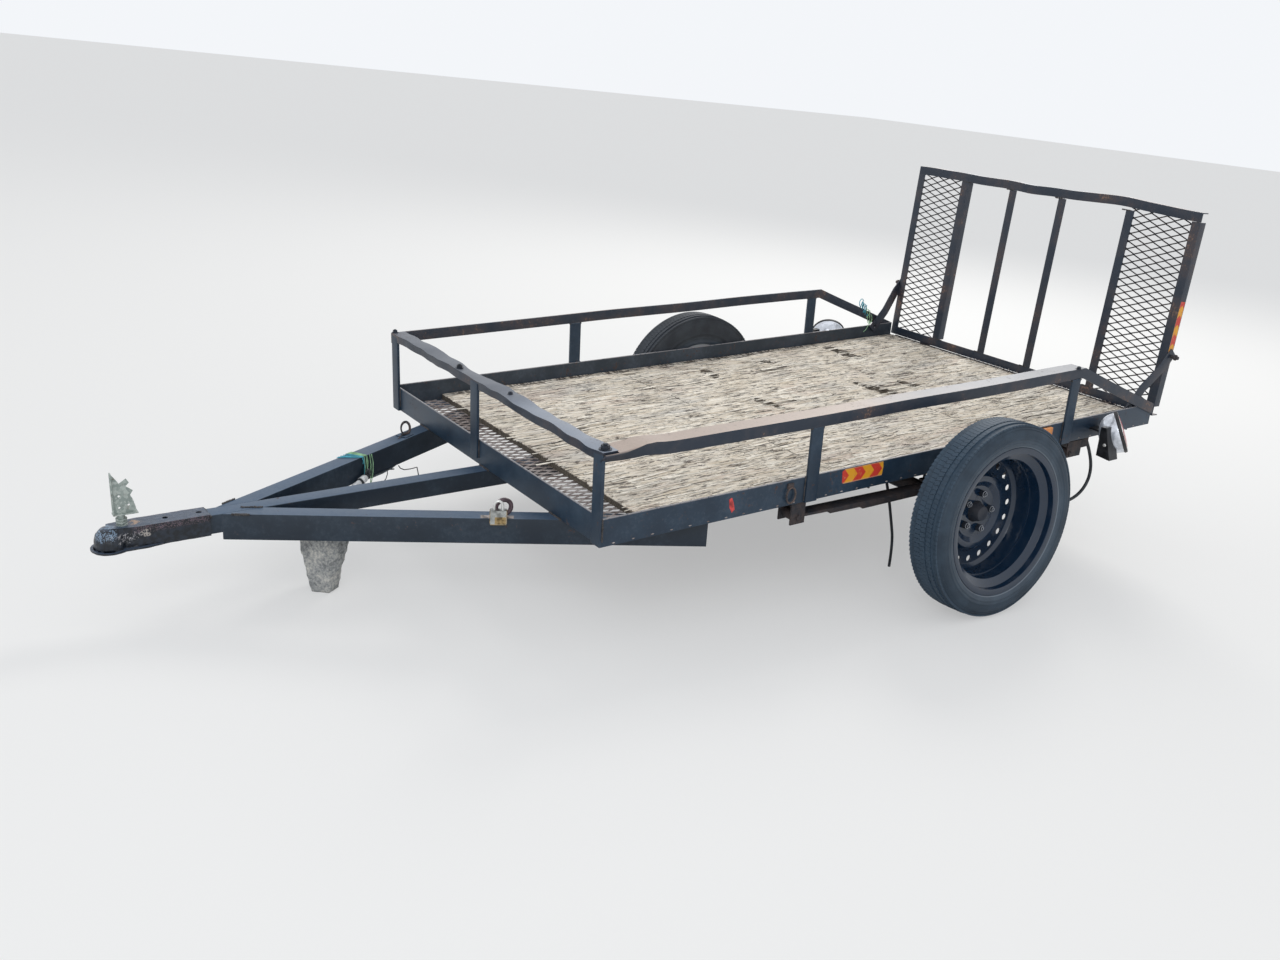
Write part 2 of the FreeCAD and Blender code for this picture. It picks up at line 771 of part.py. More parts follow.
# Wheels: side, way, holes in the disc, their circle and radius
WHEELS = (
    ("left", 1, 20, 154.0, 10.0),
    ("right", -1, 12, 112.0, 12.0),
)
# a disc's section from its skirt in the barrel to its bore: radius, step outward
# from its flat ring; the front face first, then the back face the same way
DISC_FRONTS = {
    "left": ((181, 58), (180, 10), (170, 0), (128, 0), (112, 17), (96, 17), (80, 6), (33, 6)),
    "right": ((134, -32), (139, -8), (128, 0), (88, 0), (70, -10), (33, -10)),
}
DISCS = {
    "left": ((186, 58), (186, 8), (173, -5), (126, -5), (110, 12), (98, 12), (82, 1), (33, 1)),
    "right": ((139, -32), (134, -12), (126, -5), (90, -5), (72, -15), (33, -15)),
}


def make_wheel(side, way, hole_count, hole_circle, hole_radius):
    where = wheel_place(side, way)
    seat, disc = sized(side, "SeatRadius"), sized(side, "DiscPlace")
    rim_half, wall = sized(side, "RimHalf"), d.rimWall
    radius, fat, tread = sized(side, "TyreRadius"), sized(side, "TyreHalf"), sized(side, "TreadHalf")
    lip, well, gap = seat + d.rimLip, seat - d.rimWell, d.seatGap
    edge, flange = rim_half - 7, rim_half - 3
    outer = [
        (radius, tread * 0.7), (radius - 14, tread * 1.08), ((lip + radius) / 2, fat),
        (lip + gap, flange - gap), (seat + gap, edge - gap),
    ]
    inner = [(r, -place_in) for r, place_in in reversed(outer)]
    turned_ring(f"tyre_{side}", [inner + outer], where)
    wide_step, low_step = rim_half * 0.6, rim_half * 0.4
    upper = [(lip, rim_half), (lip, flange), (seat, edge), (seat, wide_step), (well, low_step)]
    lower = [(seat - wall, rim_half - 2), (seat - wall, wide_step + 2), (well - wall, low_step + 2)]
    barrel = upper + [(r, -z) for r, z in reversed(upper)] + [(r, -z) for r, z in lower] + lower[::-1]
    rim = turned_ring(f"rim_{side}", [barrel], where, kept=False)
    section = DISC_FRONTS[side] + DISCS[side][::-1]
    add_turn(rim, [[(r, disc + step) for r, step in section]])
    hole = add_cut(rim, many_sided((hole_circle, 0), hole_radius, 12))
    ring_of(rim, hole, hole_count)
    stud_hole = add_cut(rim, many_sided((d.studCircle, 0), d.studRadius + 1, 12))
    ring_of(rim, stud_hole, 5)
    keep(rim, f"rim_{side}")
    bore, barrel_radius, face = d.spindleRadius + d.bearingGap, d.hubRadius, hub_face(side)
    flange_back = face - d.flangeWall
    back = flange_back - d.hubBarrel
    pilot, cap = barrel_radius - 2, barrel_radius - 10
    hub_section = [
        (bore, back), (barrel_radius, back), (barrel_radius, flange_back), (d.hubFlange, flange_back),
        (d.hubFlange, face), (pilot, face), (pilot, face + 12), (cap, face + 34),
        (0, face + 36), (0, face + 17), (bore, face + 17),
    ]
    hub = turned_ring(f"hub_{side}", [hub_section], where, kept=False)
    front = disc + DISC_FRONTS[side][-1][1]
    stud_start = place(0, 0, face - 1)
    stud = add_pad(hub, many_sided((d.studCircle, 0), d.studRadius, 12), front - face + 20, offset=stud_start)
    ring_of(hub, stud, 5)
    nut = add_pad(hub, many_sided((d.studCircle, 0), d.studRadius * 1.8, 6), 14, offset=place(0, 0, front))
    ring_of(hub, nut, 5)
    keep(hub, f"hub_{side}")


# Gate: drawn in its own frame, with the hinge line at its origin and leaning back.
gate_turn = Rotation(X_WAY, -float(d.gateLeanAngle))
gate_where = place(0, d.frameLength + d.gateHingeBack, -d.gateHingeDrop, gate_turn)


def on_gate(x, back, up, turn=None):
    return gate_where * place(x, back, up, turn)


def make_gate():
    leg, wall, wide = d.gateLeg, d.gateWall, d.gateHalf
    front = leg / -2
    foot, head = d.gateFoot, d.gateFoot + d.gateTall
    legs = angle_iron(leg, wall)
    # x of each upright's heel, and the way its flat leg runs
    uprights = (
        (wide, -1), (d.leftUpright, 1), (d.middleUprightLeft, 1),
        (d.middleUprightRight, 1), (d.rightUpright, -1), (-wide, 1),
    )
    posts = []
    for i, (x, way) in enumerate(uprights):
        turn = turned(Y_WAY, -X_WAY) if way < 0 else turned(X_WAY, Y_WAY)
        where = on_gate(x, front, foot + leg, turn)
        posts.append(bar(f"GateUpright{i}", legs, d.gateTall - leg * 2, where, kept=False))
    group("gate_uprights", posts)
    bar("gate_bar_top", legs, wide * 2, on_gate(wide, front, head, turned(Y_WAY, -Z_WAY)))
    low = bar("low_bar", legs, wide * 2, on_gate(-wide, front, foot, ACROSS), kept=False)
    parts = [low]
    for side, way in SIDES:
        where = on_gate(d.hingePlace * way - d.hingeEyeLong / 2, 0, 0, ACROSS)
        leaf = block(d.gateWall * -1.5, 0, d.gateWall * 3, foot + wall)
        parts.append(bar(f"hinge_leaf_{side}", leaf, d.hingeEyeLong, where, kept=False))
        parts.append(bar(f"hinge_eye_{side}", [[(0, 0, d.hingeEyeRadius)]], d.hingeEyeLong, where, kept=False))
    solid = joined("low_bar_solid", parts, kept=False)
    bore = cylinder("HingeBore", d.hingePinRadius + d.bearingGap, wide * 2, on_gate(-wide, 0, 0, ACROSS))
    cut = doc.addObject("Part::Cut", object_name("gate_bar_bottom"))
    cut.Base, cut.Tool = solid, bore
    keep(cut, "gate_bar_bottom")
    # the mesh lies behind the flat legs, between an outer upright and its neighbour
    edge, margin = wall + 1, leg / 4
    mesh_face = front + wall + d.seatGap * 2 + d.strandThick * 2
    for side, start, end in (("left", d.leftUpright, wide), ("right", -wide, d.rightUpright)):
        where = on_gate(start + edge, mesh_face, foot + margin, turned(X_WAY, Z_WAY))
        mesh_node(f"gate_mesh_{side}", end - start - edge * 2, d.gateTall - margin * 2, where)
    studs = []
    for side, way in SIDES:
        start = on_gate(wide * way, 0, d.braceStud, ACROSS if way > 0 else turned(Z_WAY, Y_WAY))
        rod = cylinder(f"StudRod{side.title()}", d.hingePinRadius, d.studLong, start)
        head_start = start * Placement(Vector(0, 0, float(d.studHeadStart)), Rotation())
        nut = cylinder(f"StudHead{side.title()}", d.studHead, d.hingePinRadius, head_start)
        studs.append(joined(f"stud_{side}", [rod, nut], kept=False))
    group("brace_studs", studs)


def make_hinges():
    """The hinge pins, held between tabs that are welded to the rear rail."""
    tab, gap, proud = 6, 1.5, 4
    reach = d.gateHingeBack + d.hingeEyeRadius
    tall = d.hingeEyeRadius * 3
    low = -d.gateHingeDrop - tall / 2
    parts = []
    for side, way in SIDES:
        inner = d.hingeEyeLong / 2 + gap
        tabs = [
            box(f"Tab{side.title()}{i}", (tab, reach, tall), place(d.hingePlace * way + x, d.frameLength, low))
            for i, x in enumerate((-inner - tab, inner))
        ]
        reach_out = inner + tab + proud
        start = place(d.hingePlace * way - reach_out, d.frameLength + d.gateHingeBack, -d.gateHingeDrop, ACROSS)
        pin = cylinder(f"HingePin{side.title()}", d.hingePinRadius, reach_out * 2, start)
        parts.append(joined(f"hinge_{side}", tabs + [pin], kept=False))
    group("gate_hinge_pins", parts)


def stud_point():
    return on_gate(0, 0, d.braceStud).Base


def make_braces():
    """Flat bars from the gate's studs down inside the side rails, joggled to pass
    the rail's end."""
    slope = math.radians(float(d.braceAngle))
    thick, wide, reach = d.braceThick, d.braceWidth, d.braceReach
    stud = stud_point()
    down = Vector(0, -math.cos(slope), -math.sin(slope))
    outer = d.gateHalf + d.seatGap * 4
    inner = half - d.railWall - d.braceRailGap - thick
    start, bend, back, end = wide / -2, d.joggleStart, d.joggleEnd, reach + wide / 2
    strip = [
        (start, outer), (bend, outer), (back, inner), (end, inner),
        (end, inner + thick), (back, inner + thick), (bend, outer + thick), (start, outer + thick),
    ]
    for side, way in SIDES:
        where = Placement(Vector(0, stud.y, stud.z), turned(down, Vector(way, 0, 0)))
        body = new_body(f"brace_{side}", where)
        add_pad(body, [strip], wide, both_ways=True)
        holes = [[(0, 0, d.hingePinRadius + d.bearingGap)], [(reach, 0, d.hingePinRadius + 1)]]
        add_cut(body, holes, role="XZ_Plane")
        keep(body, f"brace_{side}")


# Tail lamps: a bowl with its lens to the rear, and the box that its wires go to.
# Radius and place behind the lens's rim; then back and up from its middle
LAMP_BOWL = ((0, 6), (58, 3), (69, 0), (69, -8), (65, -32), (52, -54), (30, -69), (0, -75))
LAMP_BOX = ((-86, 35), (-30, 35), (-25, -71), (-57, -71))


def make_lamps():
    scale = float(d.lampRadius) / LAMP_BOWL[2][0]
    for side, way in SIDES:
        x = (half + d.lampOut) * way
        middle = place(x, d.lampPlace, -d.lampDrop)
        section = [(r * scale, z * scale) for r, z in LAMP_BOWL]
        to_rear = middle * Placement(Vector(), Rotation(X_WAY, -90))
        bowl = turned_ring(f"lamp_bowl_{side}", [section], to_rear, kept=False)
        box_at = middle * place(d.lampBoxWide / -2, 0, 0, ACROSS) * place(0, 0, d.lampBoxWide * 0.4 * way)
        back = bar(f"lamp_box_{side}", [list(LAMP_BOX)], d.lampBoxWide, box_at, kept=False)
        size = (d.lampOut, 40, 6)
        inner = half if way > 0 else -half - d.lampOut
        arm = box(f"LampArm{side.title()}", size, place(inner, d.lampPlace - 50, -d.lampDrop))
        joined(f"tail_lamp_{side}", [bowl, back, arm])
        start = place(half if way > 0 else -half - d.markerDeep, d.markerStart, d.markerLow)
        sizes = (d.markerDeep, d.markerLong, d.markerTall)
        keep(box(f"MarkerBox{side.title()}", sizes, start), f"marker_lamp_{side}")


# Cables under the left rail: each corner of the route, back and down from where it
# leaves its gland, and its place across
CABLE_REAR = (
    (0, 0, 610), (42, -58, 610), (68, -136, 611), (45, -194, 611), (-10, -227, 607),
    (-90, -234, 596), (-170, -189, 580), (-235, -109, 567), (-270, -14, 567),
)
HOSE_FRONT = ((0, 0, 568), (23, -64, 568), (48, -149, 568), (71, -234, 568), (68, -314, 568))


def routed(corners):
    """Straight runs joined by arcs that meet them smoothly, as one wire."""
    edges = []
    radii = []
    start = corners[0]
    for before, corner, after in zip(corners, corners[1:], corners[2:]):
        one, two = (corner - before), (after - corner)
        turn = one.getAngle(two)
        if turn > 0.01:
            cut = 0.45 * min(one.Length, two.Length)
            radii.append(cut / math.tan(turn / 2))
            into = corner - one.normalize() * cut
            away = corner + two.normalize() * cut
            bisector = (one * -1 + two).normalize()
            offset = radii[-1] / math.cos(turn / 2) - radii[-1]
            edges.append(Part.LineSegment(start, into).toShape())
            edges.append(Part.Arc(into, corner + bisector * offset, away).toShape())
            start = away
    edges.append(Part.LineSegment(start, corners[-1]).toShape())
    return Part.Wire(edges), radii


def make_cable(label, diameter, route, y, z):
    corners = [Vector(x, float(y) + back, float(z) + up) for back, up, x in route]
    wire, radii = routed(corners)
    ring = Part.makeCircle(float(diameter) / 2, corners[0], corners[1] - corners[0])
    tube = wire.makePipeShell([Part.Wire(ring)], True, False)
    part = doc.addObject("Part::Feature", object_name(label))
    part.Shape = tube
    keep(part, label)
    want = math.pi * float(diameter) ** 2 / 4 * wire.Length
    print("cord", label, "radii", [round(r) for r in radii], "length", round(wire.Length, 1))
    print("cord", label, "volume over section x length", round(tube.Volume / want, 4))
    return corners


def make_gland(name, end, run):
    """A wedge under the side rail, whose lower face is square to the cable."""
    top, radius = -d.railLeg, float(d.glandRadius)
    run.normalize()
    side = Vector(0, -run.z, run.y)
    one, two = end + side * radius, end - side * radius
    front, rear = min(one.y, two.y), max(one.y, two.y)
    low, high = (one, two) if one.y < two.y else (two, one)
    wedge = [(front, top), (low.y, low.z), (high.y, high.z), (rear, top)]
    return bar(name, [wedge], radius * 2, place(end.x - radius, 0, 0, ACROSS), kept=False)


def make_cables():
    below = -d.railLeg - d.glandRadius * 1.6
    rear_y = d.axlePlace + d.springHalf + d.shackleLean + d.hangerLong + d.hangerLong / 5
    hose_y = d.firstCross + (d.frameLength - d.firstCross - d.lastBay) * 0.4 + d.crossLeg + 8
    glands = []
    cable = make_cable("cable_rear", d.cableDiameter, CABLE_REAR, rear_y, below)
    hose = make_cable("hose_front", d.hoseDiameter, HOSE_FRONT, hose_y, below)
    for i, (end, after) in enumerate(((cable[0], cable[1]), (cable[-1], cable[-2]), (hose[0], hose[1]))):
        glands.append(make_gland(f"gland_{i}", end, after - end))
    group("cable_glands", glands)
    return {"cable_rear": cable, "hose_front": hose}


# The stone under the tongue: share of the way down, half its width and depth,
# shift across and along; then the reach of each corner round it
STONE_RINGS = ((0.0, 1.0, 0, 0), (0.3, 1.1, 3, 4), (0.68, 0.92, 2, -2), (1.0, 0.62, 0, -8))
STONE_CORNERS = (0.92, 1.08, 0.97, 1.12, 0.9, 1.06, 0.95, 1.1, 0.88, 1.04)


def make_prop(ground):
    tilt = math.radians(float(d.parkAngle))
    half_size = float(d.propTopHalf)
    top = on_tongue(place(0, -d.propAhead, -d.railLeg - d.middleTall))
    y = top.Base.y
    base_z = (ground - y * math.sin(tilt)) / math.cos(tilt)
    rings = []
    for down, reach, x_shift, y_shift in STONE_RINGS:
        ring = []
        for i, corner in enumerate(STONE_CORNERS):
            turn = math.tau * (i + down) / len(STONE_CORNERS)
            across = half_size * reach * corner * math.cos(turn) + x_shift
            along = half_size * reach * corner * math.sin(turn) + y_shift
            upper = top.multVec(Vector(across, along, 0))
            lower = Vector(across, y + along, base_z - along * math.tan(tilt))
            ring.append(upper + (lower - upper) * down)
        rings.append(ring)
    count = len(STONE_CORNERS)
    faces = [Part.Face(Part.makePolygon(ring + ring[:1])) for ring in (rings[0], rings[-1])]
    for above, beneath in zip(rings, rings[1:]):
        for i in range(count):
            j = (i + 1) % count
            for three in ((above[i], above[j], beneath[j]), (above[i], beneath[j], beneath[i])):
                faces.append(Part.Face(Part.makePolygon(list(three) + [three[0]])))
    stone = Part.Solid(Part.Shell(faces))
    if stone.Volume < 0:
        stone.reverse()
    part = doc.addObject("Part::Feature", "PropStone")
    part.Shape = stone
    keep(part, "prop_stone")


make_frame()
make_low_rail()
make_deck()
make_tongue()
make_coupler()
make_axle()
make_springs()
for wheel in WHEELS:
    make_wheel(*wheel)
make_gate()
make_hinges()
make_braces()
make_lamps()
cable_routes = make_cables()
doc.recompute()

parked = Placement(Vector(), Rotation(X_WAY, float(d.parkAngle)))


def as_parked(part, shift=Vector()):
    shape = part.Shape.copy()
    shape.Placement = Placement(shift, Rotation()) * parked * shape.Placement
    return shape


tyres = [node for node in nodes if node.Label.startswith("tyre")]
make_prop(min(as_parked(tyre).optimalBoundingBox(False, False).ZMin for tyre in tyres))
doc.recompute()

faults = [part.Name for part in doc.Objects if {"Invalid", "Error"} & set(part.State)]
faults += [node.Label for node in nodes if node.Shape.isNull() or not node.Shape.isValid()]
if faults:
    raise SystemExit(f"these are not sound: {faults}")

whole = FreeCAD.BoundBox()
for node in nodes:
    whole.add(as_parked(node).optimalBoundingBox(False, False))
shift = Vector(-whole.Center.x, -whole.Center.y, -whole.ZMin)

os.makedirs("parts", exist_ok=True)
for node in nodes:
    as_parked(node, shift).exportStep(f"parts/{node.Label}.step")

to_world = Placement(shift, Rotation()) * parked


def report(name, point, way):
    spot = to_world.multVec(point)
    aim = parked.Rotation.multVec(way)
    numbers = [f"{v:.4f}" for v in (spot.x, spot.y, spot.z)] + [f"{v:.6f}" for v in (aim.x, aim.y, aim.z)]
    print("spot", name, *numbers)


print("nodes", len(nodes), "box", whole)
for side, way in SIDES:
    wheel = wheel_place(side, way)
    report(f"wheel_{side}", wheel.Base, wheel.Rotation.multVec(Z_WAY))
    report(f"brace_{side}", stud_point() + Vector(float(d.gateHalf) * way, 0, 0), X_WAY)
report("gate", gate_where.Base, X_WAY)
tongue_turn = on_tongue(place(0, 0, 0))
tongue_up = tongue_turn.Rotation.multVec(Z_WAY)
socket = Vector(0, float(nose), float(coupler_top - d.couplerTall))
report("socket", tongue_turn.multVec(socket), -tongue_up)
for name, y in (("front_bolt_hole", front_hole), ("rear_bolt_hole", rear_hole)):
    hole_middle = Vector(0, float(y), float(coupler_top - d.couplerWall / 2))
    report(name, tongue_turn.multVec(hole_middle), tongue_up)
for name, corners in cable_routes.items():
    for i, corner in enumerate(corners):
        report(f"{name}_{i}", corner, X_WAY)
report("deck", Vector(0, float(first_seam + second_seam) / 2, float(deck_low + d.deckThick)), Z_WAY)
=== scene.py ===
import json
import math

import bmesh
import bpy
from mathutils import Matrix, Vector, noise

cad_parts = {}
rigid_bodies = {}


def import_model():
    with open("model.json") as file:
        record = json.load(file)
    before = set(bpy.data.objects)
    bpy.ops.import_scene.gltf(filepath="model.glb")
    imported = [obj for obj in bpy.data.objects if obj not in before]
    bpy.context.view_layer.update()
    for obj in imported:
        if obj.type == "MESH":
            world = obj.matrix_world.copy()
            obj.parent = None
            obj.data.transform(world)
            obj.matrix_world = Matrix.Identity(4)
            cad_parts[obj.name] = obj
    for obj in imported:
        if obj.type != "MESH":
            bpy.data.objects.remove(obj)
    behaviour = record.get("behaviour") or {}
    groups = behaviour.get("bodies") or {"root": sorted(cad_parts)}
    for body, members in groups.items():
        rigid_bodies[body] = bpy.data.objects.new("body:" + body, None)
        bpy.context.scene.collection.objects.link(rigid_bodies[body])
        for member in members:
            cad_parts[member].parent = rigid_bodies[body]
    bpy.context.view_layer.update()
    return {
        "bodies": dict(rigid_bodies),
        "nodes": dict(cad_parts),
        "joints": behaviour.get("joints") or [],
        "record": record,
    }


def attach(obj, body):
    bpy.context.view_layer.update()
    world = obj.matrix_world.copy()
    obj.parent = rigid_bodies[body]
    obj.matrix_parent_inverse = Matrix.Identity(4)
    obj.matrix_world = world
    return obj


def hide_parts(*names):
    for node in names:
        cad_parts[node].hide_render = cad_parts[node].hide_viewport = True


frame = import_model()
nodes = frame["nodes"]
joints = {joint["name"]: joint for joint in frame["joints"]}
print("frame loaded,", len(nodes), "nodes")

# The trailer is measured level: x across (left side +), y rearward from the
# front rail, z up from the side rails' top edge, in metres. It parks nose down.
park = {"angle": 3.8, "gateHinge": (0, 2.296, -0.086), "gateLean": 4.1}


def turned(degrees, axis="X"):
    return Matrix.Rotation(math.radians(degrees), 4, axis)


hingeNow = Vector(joints["gate_hinge"]["pos_m"])
nose = turned(park["angle"])
levelToWorld = Matrix.Translation(hingeNow - nose @ Vector(park["gateHinge"])) @ nose
gateToWorld = levelToWorld @ Matrix.Translation(park["gateHinge"]) @ turned(-park["gateLean"])


def wheelToWorld(side):
    joint = joints[f"wheel_{side}_spin"]
    out = Vector(joint["axis"]).normalized()
    back = (Vector((0, 1, 0)) - out * out.y).normalized()
    turn = Matrix((back, out.cross(back), out)).transposed().to_4x4()
    return Matrix.Translation(joint["pos_m"]) @ turn


def addObject(name, data):
    made = bpy.data.objects.new(name, data)
    bpy.context.collection.objects.link(made)
    return made


def evaluated(made):
    bpy.context.view_layer.update()
    return made.evaluated_get(bpy.context.evaluated_depsgraph_get())


cameraSizes = {"focal": 1203.7, "place": (2.926, -1.512, 1.159),
               "right": (0.56, 0.827, 0.051), "down": (0.323, -0.161, -0.933)}


def makeCamera(sizes):
    right = Vector(sizes["right"]).normalized()
    down = Vector(sizes["down"])
    down = (down - right * down.dot(right)).normalized()
    back = down.cross(right)  # away from what the camera sees
    turn = Matrix((right, -down, back)).transposed().to_4x4()
    lens = bpy.data.cameras.new("camera")
    lens.sensor_width = 36
    lens.lens = sizes["focal"] / 1280 * lens.sensor_width
    camera = addObject("camera", lens)
    camera.matrix_world = levelToWorld @ Matrix.Translation(sizes["place"]) @ turn
    bpy.context.scene.camera = camera


makeCamera(cameraSizes)


# each corner of a cord's route is level, in metres
cords = {
    "cableRear": {
        "node": "cable_rear", "diameter": 0.011, "farEnd": "object", "stiffness": "stiff", "shift": (1.962, -0.089),
        "corners": ((0.610, 0, 0), (0.610, 0.042, -0.058), (0.611, 0.068, -0.136), (0.611, 0.045, -0.194),
                    (0.607, -0.010, -0.227), (0.596, -0.090, -0.234), (0.580, -0.170, -0.189), (0.567, -0.235, -0.109),
                    (0.567, -0.270, -0.014)),
    },
    "hoseFront": {
        "node": "hose_front", "diameter": 0.009, "farEnd": "bare", "stiffness": "stiff", "shift": (1.058, -0.089),
        "corners": ((0.568, 0, 0), (0.568, 0.023, -0.064), (0.568, 0.048, -0.149), (0.568, 0.071, -0.234),
                    (0.568, 0.068, -0.314)),
    },
}
cordObjects = {}


def makeCord(name, sizes):
    back, up = sizes["shift"]
    curve = bpy.data.curves.new(name, "CURVE")
    curve.dimensions = "3D"
    curve.resolution_u = 24
    curve.bevel_depth = sizes["diameter"] / 2
    curve.bevel_resolution = 4
    curve.use_fill_caps = True
    line = curve.splines.new("NURBS")
    line.points.add(len(sizes["corners"]) - 1)
    for point, (x, y, z) in zip(line.points, sizes["corners"]):
        point.co = (*(levelToWorld @ Vector((x, y + back, z + up))), 1)
    line.order_u = 3
    line.use_endpoint_u = True
    made = addObject(name, curve)
    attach(made, "chassis")
    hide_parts(sizes["node"])
    drawn = evaluated(made).to_curve(bpy.context.evaluated_depsgraph_get())
    cordObjects[name] = made


for name, sizes in cords.items():
    makeCord(name, sizes)
print("cords made")


def operator(operation, reflected=False):
    def applied(self, other):
        values = (other, self) if reflected else (self, other)
        return self.calc(operation, *values)
    return applied


class Field:
    def __init__(self, graph, socket):
        self.graph = graph
        self.socket = socket

    def calc(self, operation, *values):
        return self.graph.add("ShaderNodeMath", {"operation": operation}, *values)

    __add__ = __radd__ = operator("ADD")
    __mul__ = __rmul__ = operator("MULTIPLY")
    __sub__, __rsub__ = operator("SUBTRACT"), operator("SUBTRACT", True)
    __truediv__, __mod__ = operator("DIVIDE"), operator("FLOORED_MODULO")
    __gt__, __lt__ = operator("GREATER_THAN"), operator("LESS_THAN")

    def absolute(self):
        return self.calc("ABSOLUTE", self)

    def capped(self):
        return self.graph.add("ShaderNodeClamp", {}, self)


class Graph:
    def __init__(self, tree):
        self.tree = tree

    def plug(self, socket, value):
        if isinstance(value, Field):
            self.tree.links.new(value.socket, socket)
        elif value is not None:
            socket.default_value = value

    def add(self, kind, settings=None, *values, out=0, **named):
        made = self.tree.nodes.new(kind)
        for key, value in (settings or {}).items():
            if key == "stops":
                self.setStops(made.color_ramp, value)
            else:
                setattr(made, key, value)
        for key, value in [*enumerate(values), *named.items()]:
            self.plug(made.inputs[key.replace("_", " ") if isinstance(key, str) else key], value)
        return Field(self, made.outputs[out])

    def vector(self, operation, *values, out=0):
        return self.add("ShaderNodeVectorMath", {"operation": operation}, *values, out=out)

    def part(self, i, vector):
        return self.add("ShaderNodeSeparateXYZ", {}, vector, out=i)

    def setStops(self, ramp, stops):
        while len(ramp.elements) < len(stops):
            ramp.elements.new(0.5)
        for element, (place, colour) in zip(ramp.elements, stops):
            element.position, element.color = place, (*colour, 1)


class Finish(Graph):
    def __init__(self, name, coords="level"):
        self.material = bpy.data.materials.new(name)
        self.material.use_nodes = True
        super().__init__(self.material.node_tree)
        self.surface = self.tree.nodes["Principled BSDF"]
        spot = self.add("ShaderNodeTexCoord", {}, out="Object")
        back = ({"level": levelToWorld, "gate": gateToWorld}.get(coords) or wheelToWorld(coords)).inverted()
        self.place = self.add("ShaderNodeMapping", {}, spot, tuple(back.translation), tuple(back.to_euler()))
        self.x, self.y, self.z = (self.part(i, self.place) for i in range(3))

    def upward(self, low=0.55, high=0.9):
        return self.step(self.part(2, self.add("ShaderNodeTexCoord", {}, out="Normal")), low, high)

    def stretched(self, x, y, z):
        return self.vector("MULTIPLY", self.place, (x, y, z))

    def away(self, middle, half):
        # distance from a place, counted in its half sizes; a half size of 0 leaves that axis out
        scale = [1 / size if size else 0 for size in half]
        moved = self.vector("MULTIPLY_ADD", self.place, scale, [-m * k for m, k in zip(middle, scale)])
        return self.vector("LENGTH", moved, out="Value")

    def speckle(self, scale, detail=4, rough=0.55, stretch=None, shift=0.0, distortion=0.0):
        spot = self.stretched(*stretch) if stretch else self.place
        if shift:
            spot = self.vector("ADD", spot, (shift, shift * 1.7, shift * 2.3))
        return self.add("ShaderNodeTexNoise", {}, Vector=spot, Scale=scale, Detail=detail, Roughness=rough,
                        Distortion=distortion)

    def step(self, value, low, high):
        return self.add("ShaderNodeMapRange", {"interpolation_type": "SMOOTHSTEP"}, value, low, high)

    def mix(self, factor, first, second):
        made = self.tree.nodes.new("ShaderNodeMix")
        made.data_type = "RGBA"
        self.plug(made.inputs[0], factor)
        for key, value in ((6, first), (7, second)):
            self.plug(made.inputs[key], value if isinstance(value, Field) else (*value, 1))
        return Field(self, made.outputs[2])

    def tint(self, mask, colour):
        self.colour = self.mix(mask, self.colour, colour)

    def ramp(self, value, *stops):
        return self.add("ShaderNodeValToRGB", {"stops": stops}, value)

    def bump(self, height, strength, distance):
        return self.add("ShaderNodeBump", {}, Strength=strength, Distance=distance, Height=height)

    def finish(self, roughness, normal=None, metallic=None, **fixed):
        colour = self.colour if isinstance(self.colour, Field) else (*self.colour, 1)
        wanted = {"Base Color": colour, "Roughness": roughness, "Normal": normal, "Metallic": metallic, **fixed}
        for key, value in wanted.items():
            self.plug(self.surface.inputs[key.replace("_", " ")], value)
        return self.material


def blackPaint(name, coords="level", wear=0.5, dust=0.5, topEdge=None, tone=1.0, tint=(1, 1, 1)):
    s = Finish(name, coords)
    blotch = s.speckle(7, 5, 0.6)
    fine = s.speckle(90, 4, 0.65, shift=3)
    grit = s.speckle(420, 2, 0.5, shift=7)
    # navy tones: black paint with a painted blue cast of sky-lit shade
    shades = ((0.009, 0.024, 0.046), (0.019, 0.043, 0.074))
    low, high = ([c * tone * t for c, t in zip(shade, tint)] for shade in shades)
    s.colour = s.mix(s.step(blotch, 0.35, 0.7), low, high)
    dusty = s.step(fine + blotch * 0.8, 0.86, 1.18) * (0.40 * dust)
    s.tint(dusty, (0.085, 0.108, 0.140))
    # painted sky sheen: upward faces lighter and bluer
    sky = s.upward() * (0.55 + blotch * 0.4)
    s.tint(sky, s.ramp(fine, (0.35, (0.062, 0.112, 0.190)), (0.68, (0.105, 0.155, 0.225))))
    rustMask = s.step(fine + s.speckle(16, 6, 0.7, shift=11), 1.26 - wear * 0.2, 1.40 - wear * 0.2)
    s.tint(rustMask * 0.8, s.ramp(grit, (0.35, (0.040, 0.024, 0.022)), (0.65, (0.120, 0.070, 0.056))))
    # a painted highlight: a pale line along the top edge where light catches it
    if topEdge is not None:
        bare = s.step(s.z, topEdge - 0.0030, topEdge - 0.0006) * s.step(fine, 0.30, 0.50)
        s.tint(bare * 0.85, (0.30, 0.285, 0.29))
    height = blotch * 0.4 + grit * 0.35 + rustMask * 0.8
    rough = 0.38 + dusty * 0.4 + rustMask * 0.35 + blotch * 0.1
    return s.finish(rough, s.bump(height, 0.35, 0.0008))


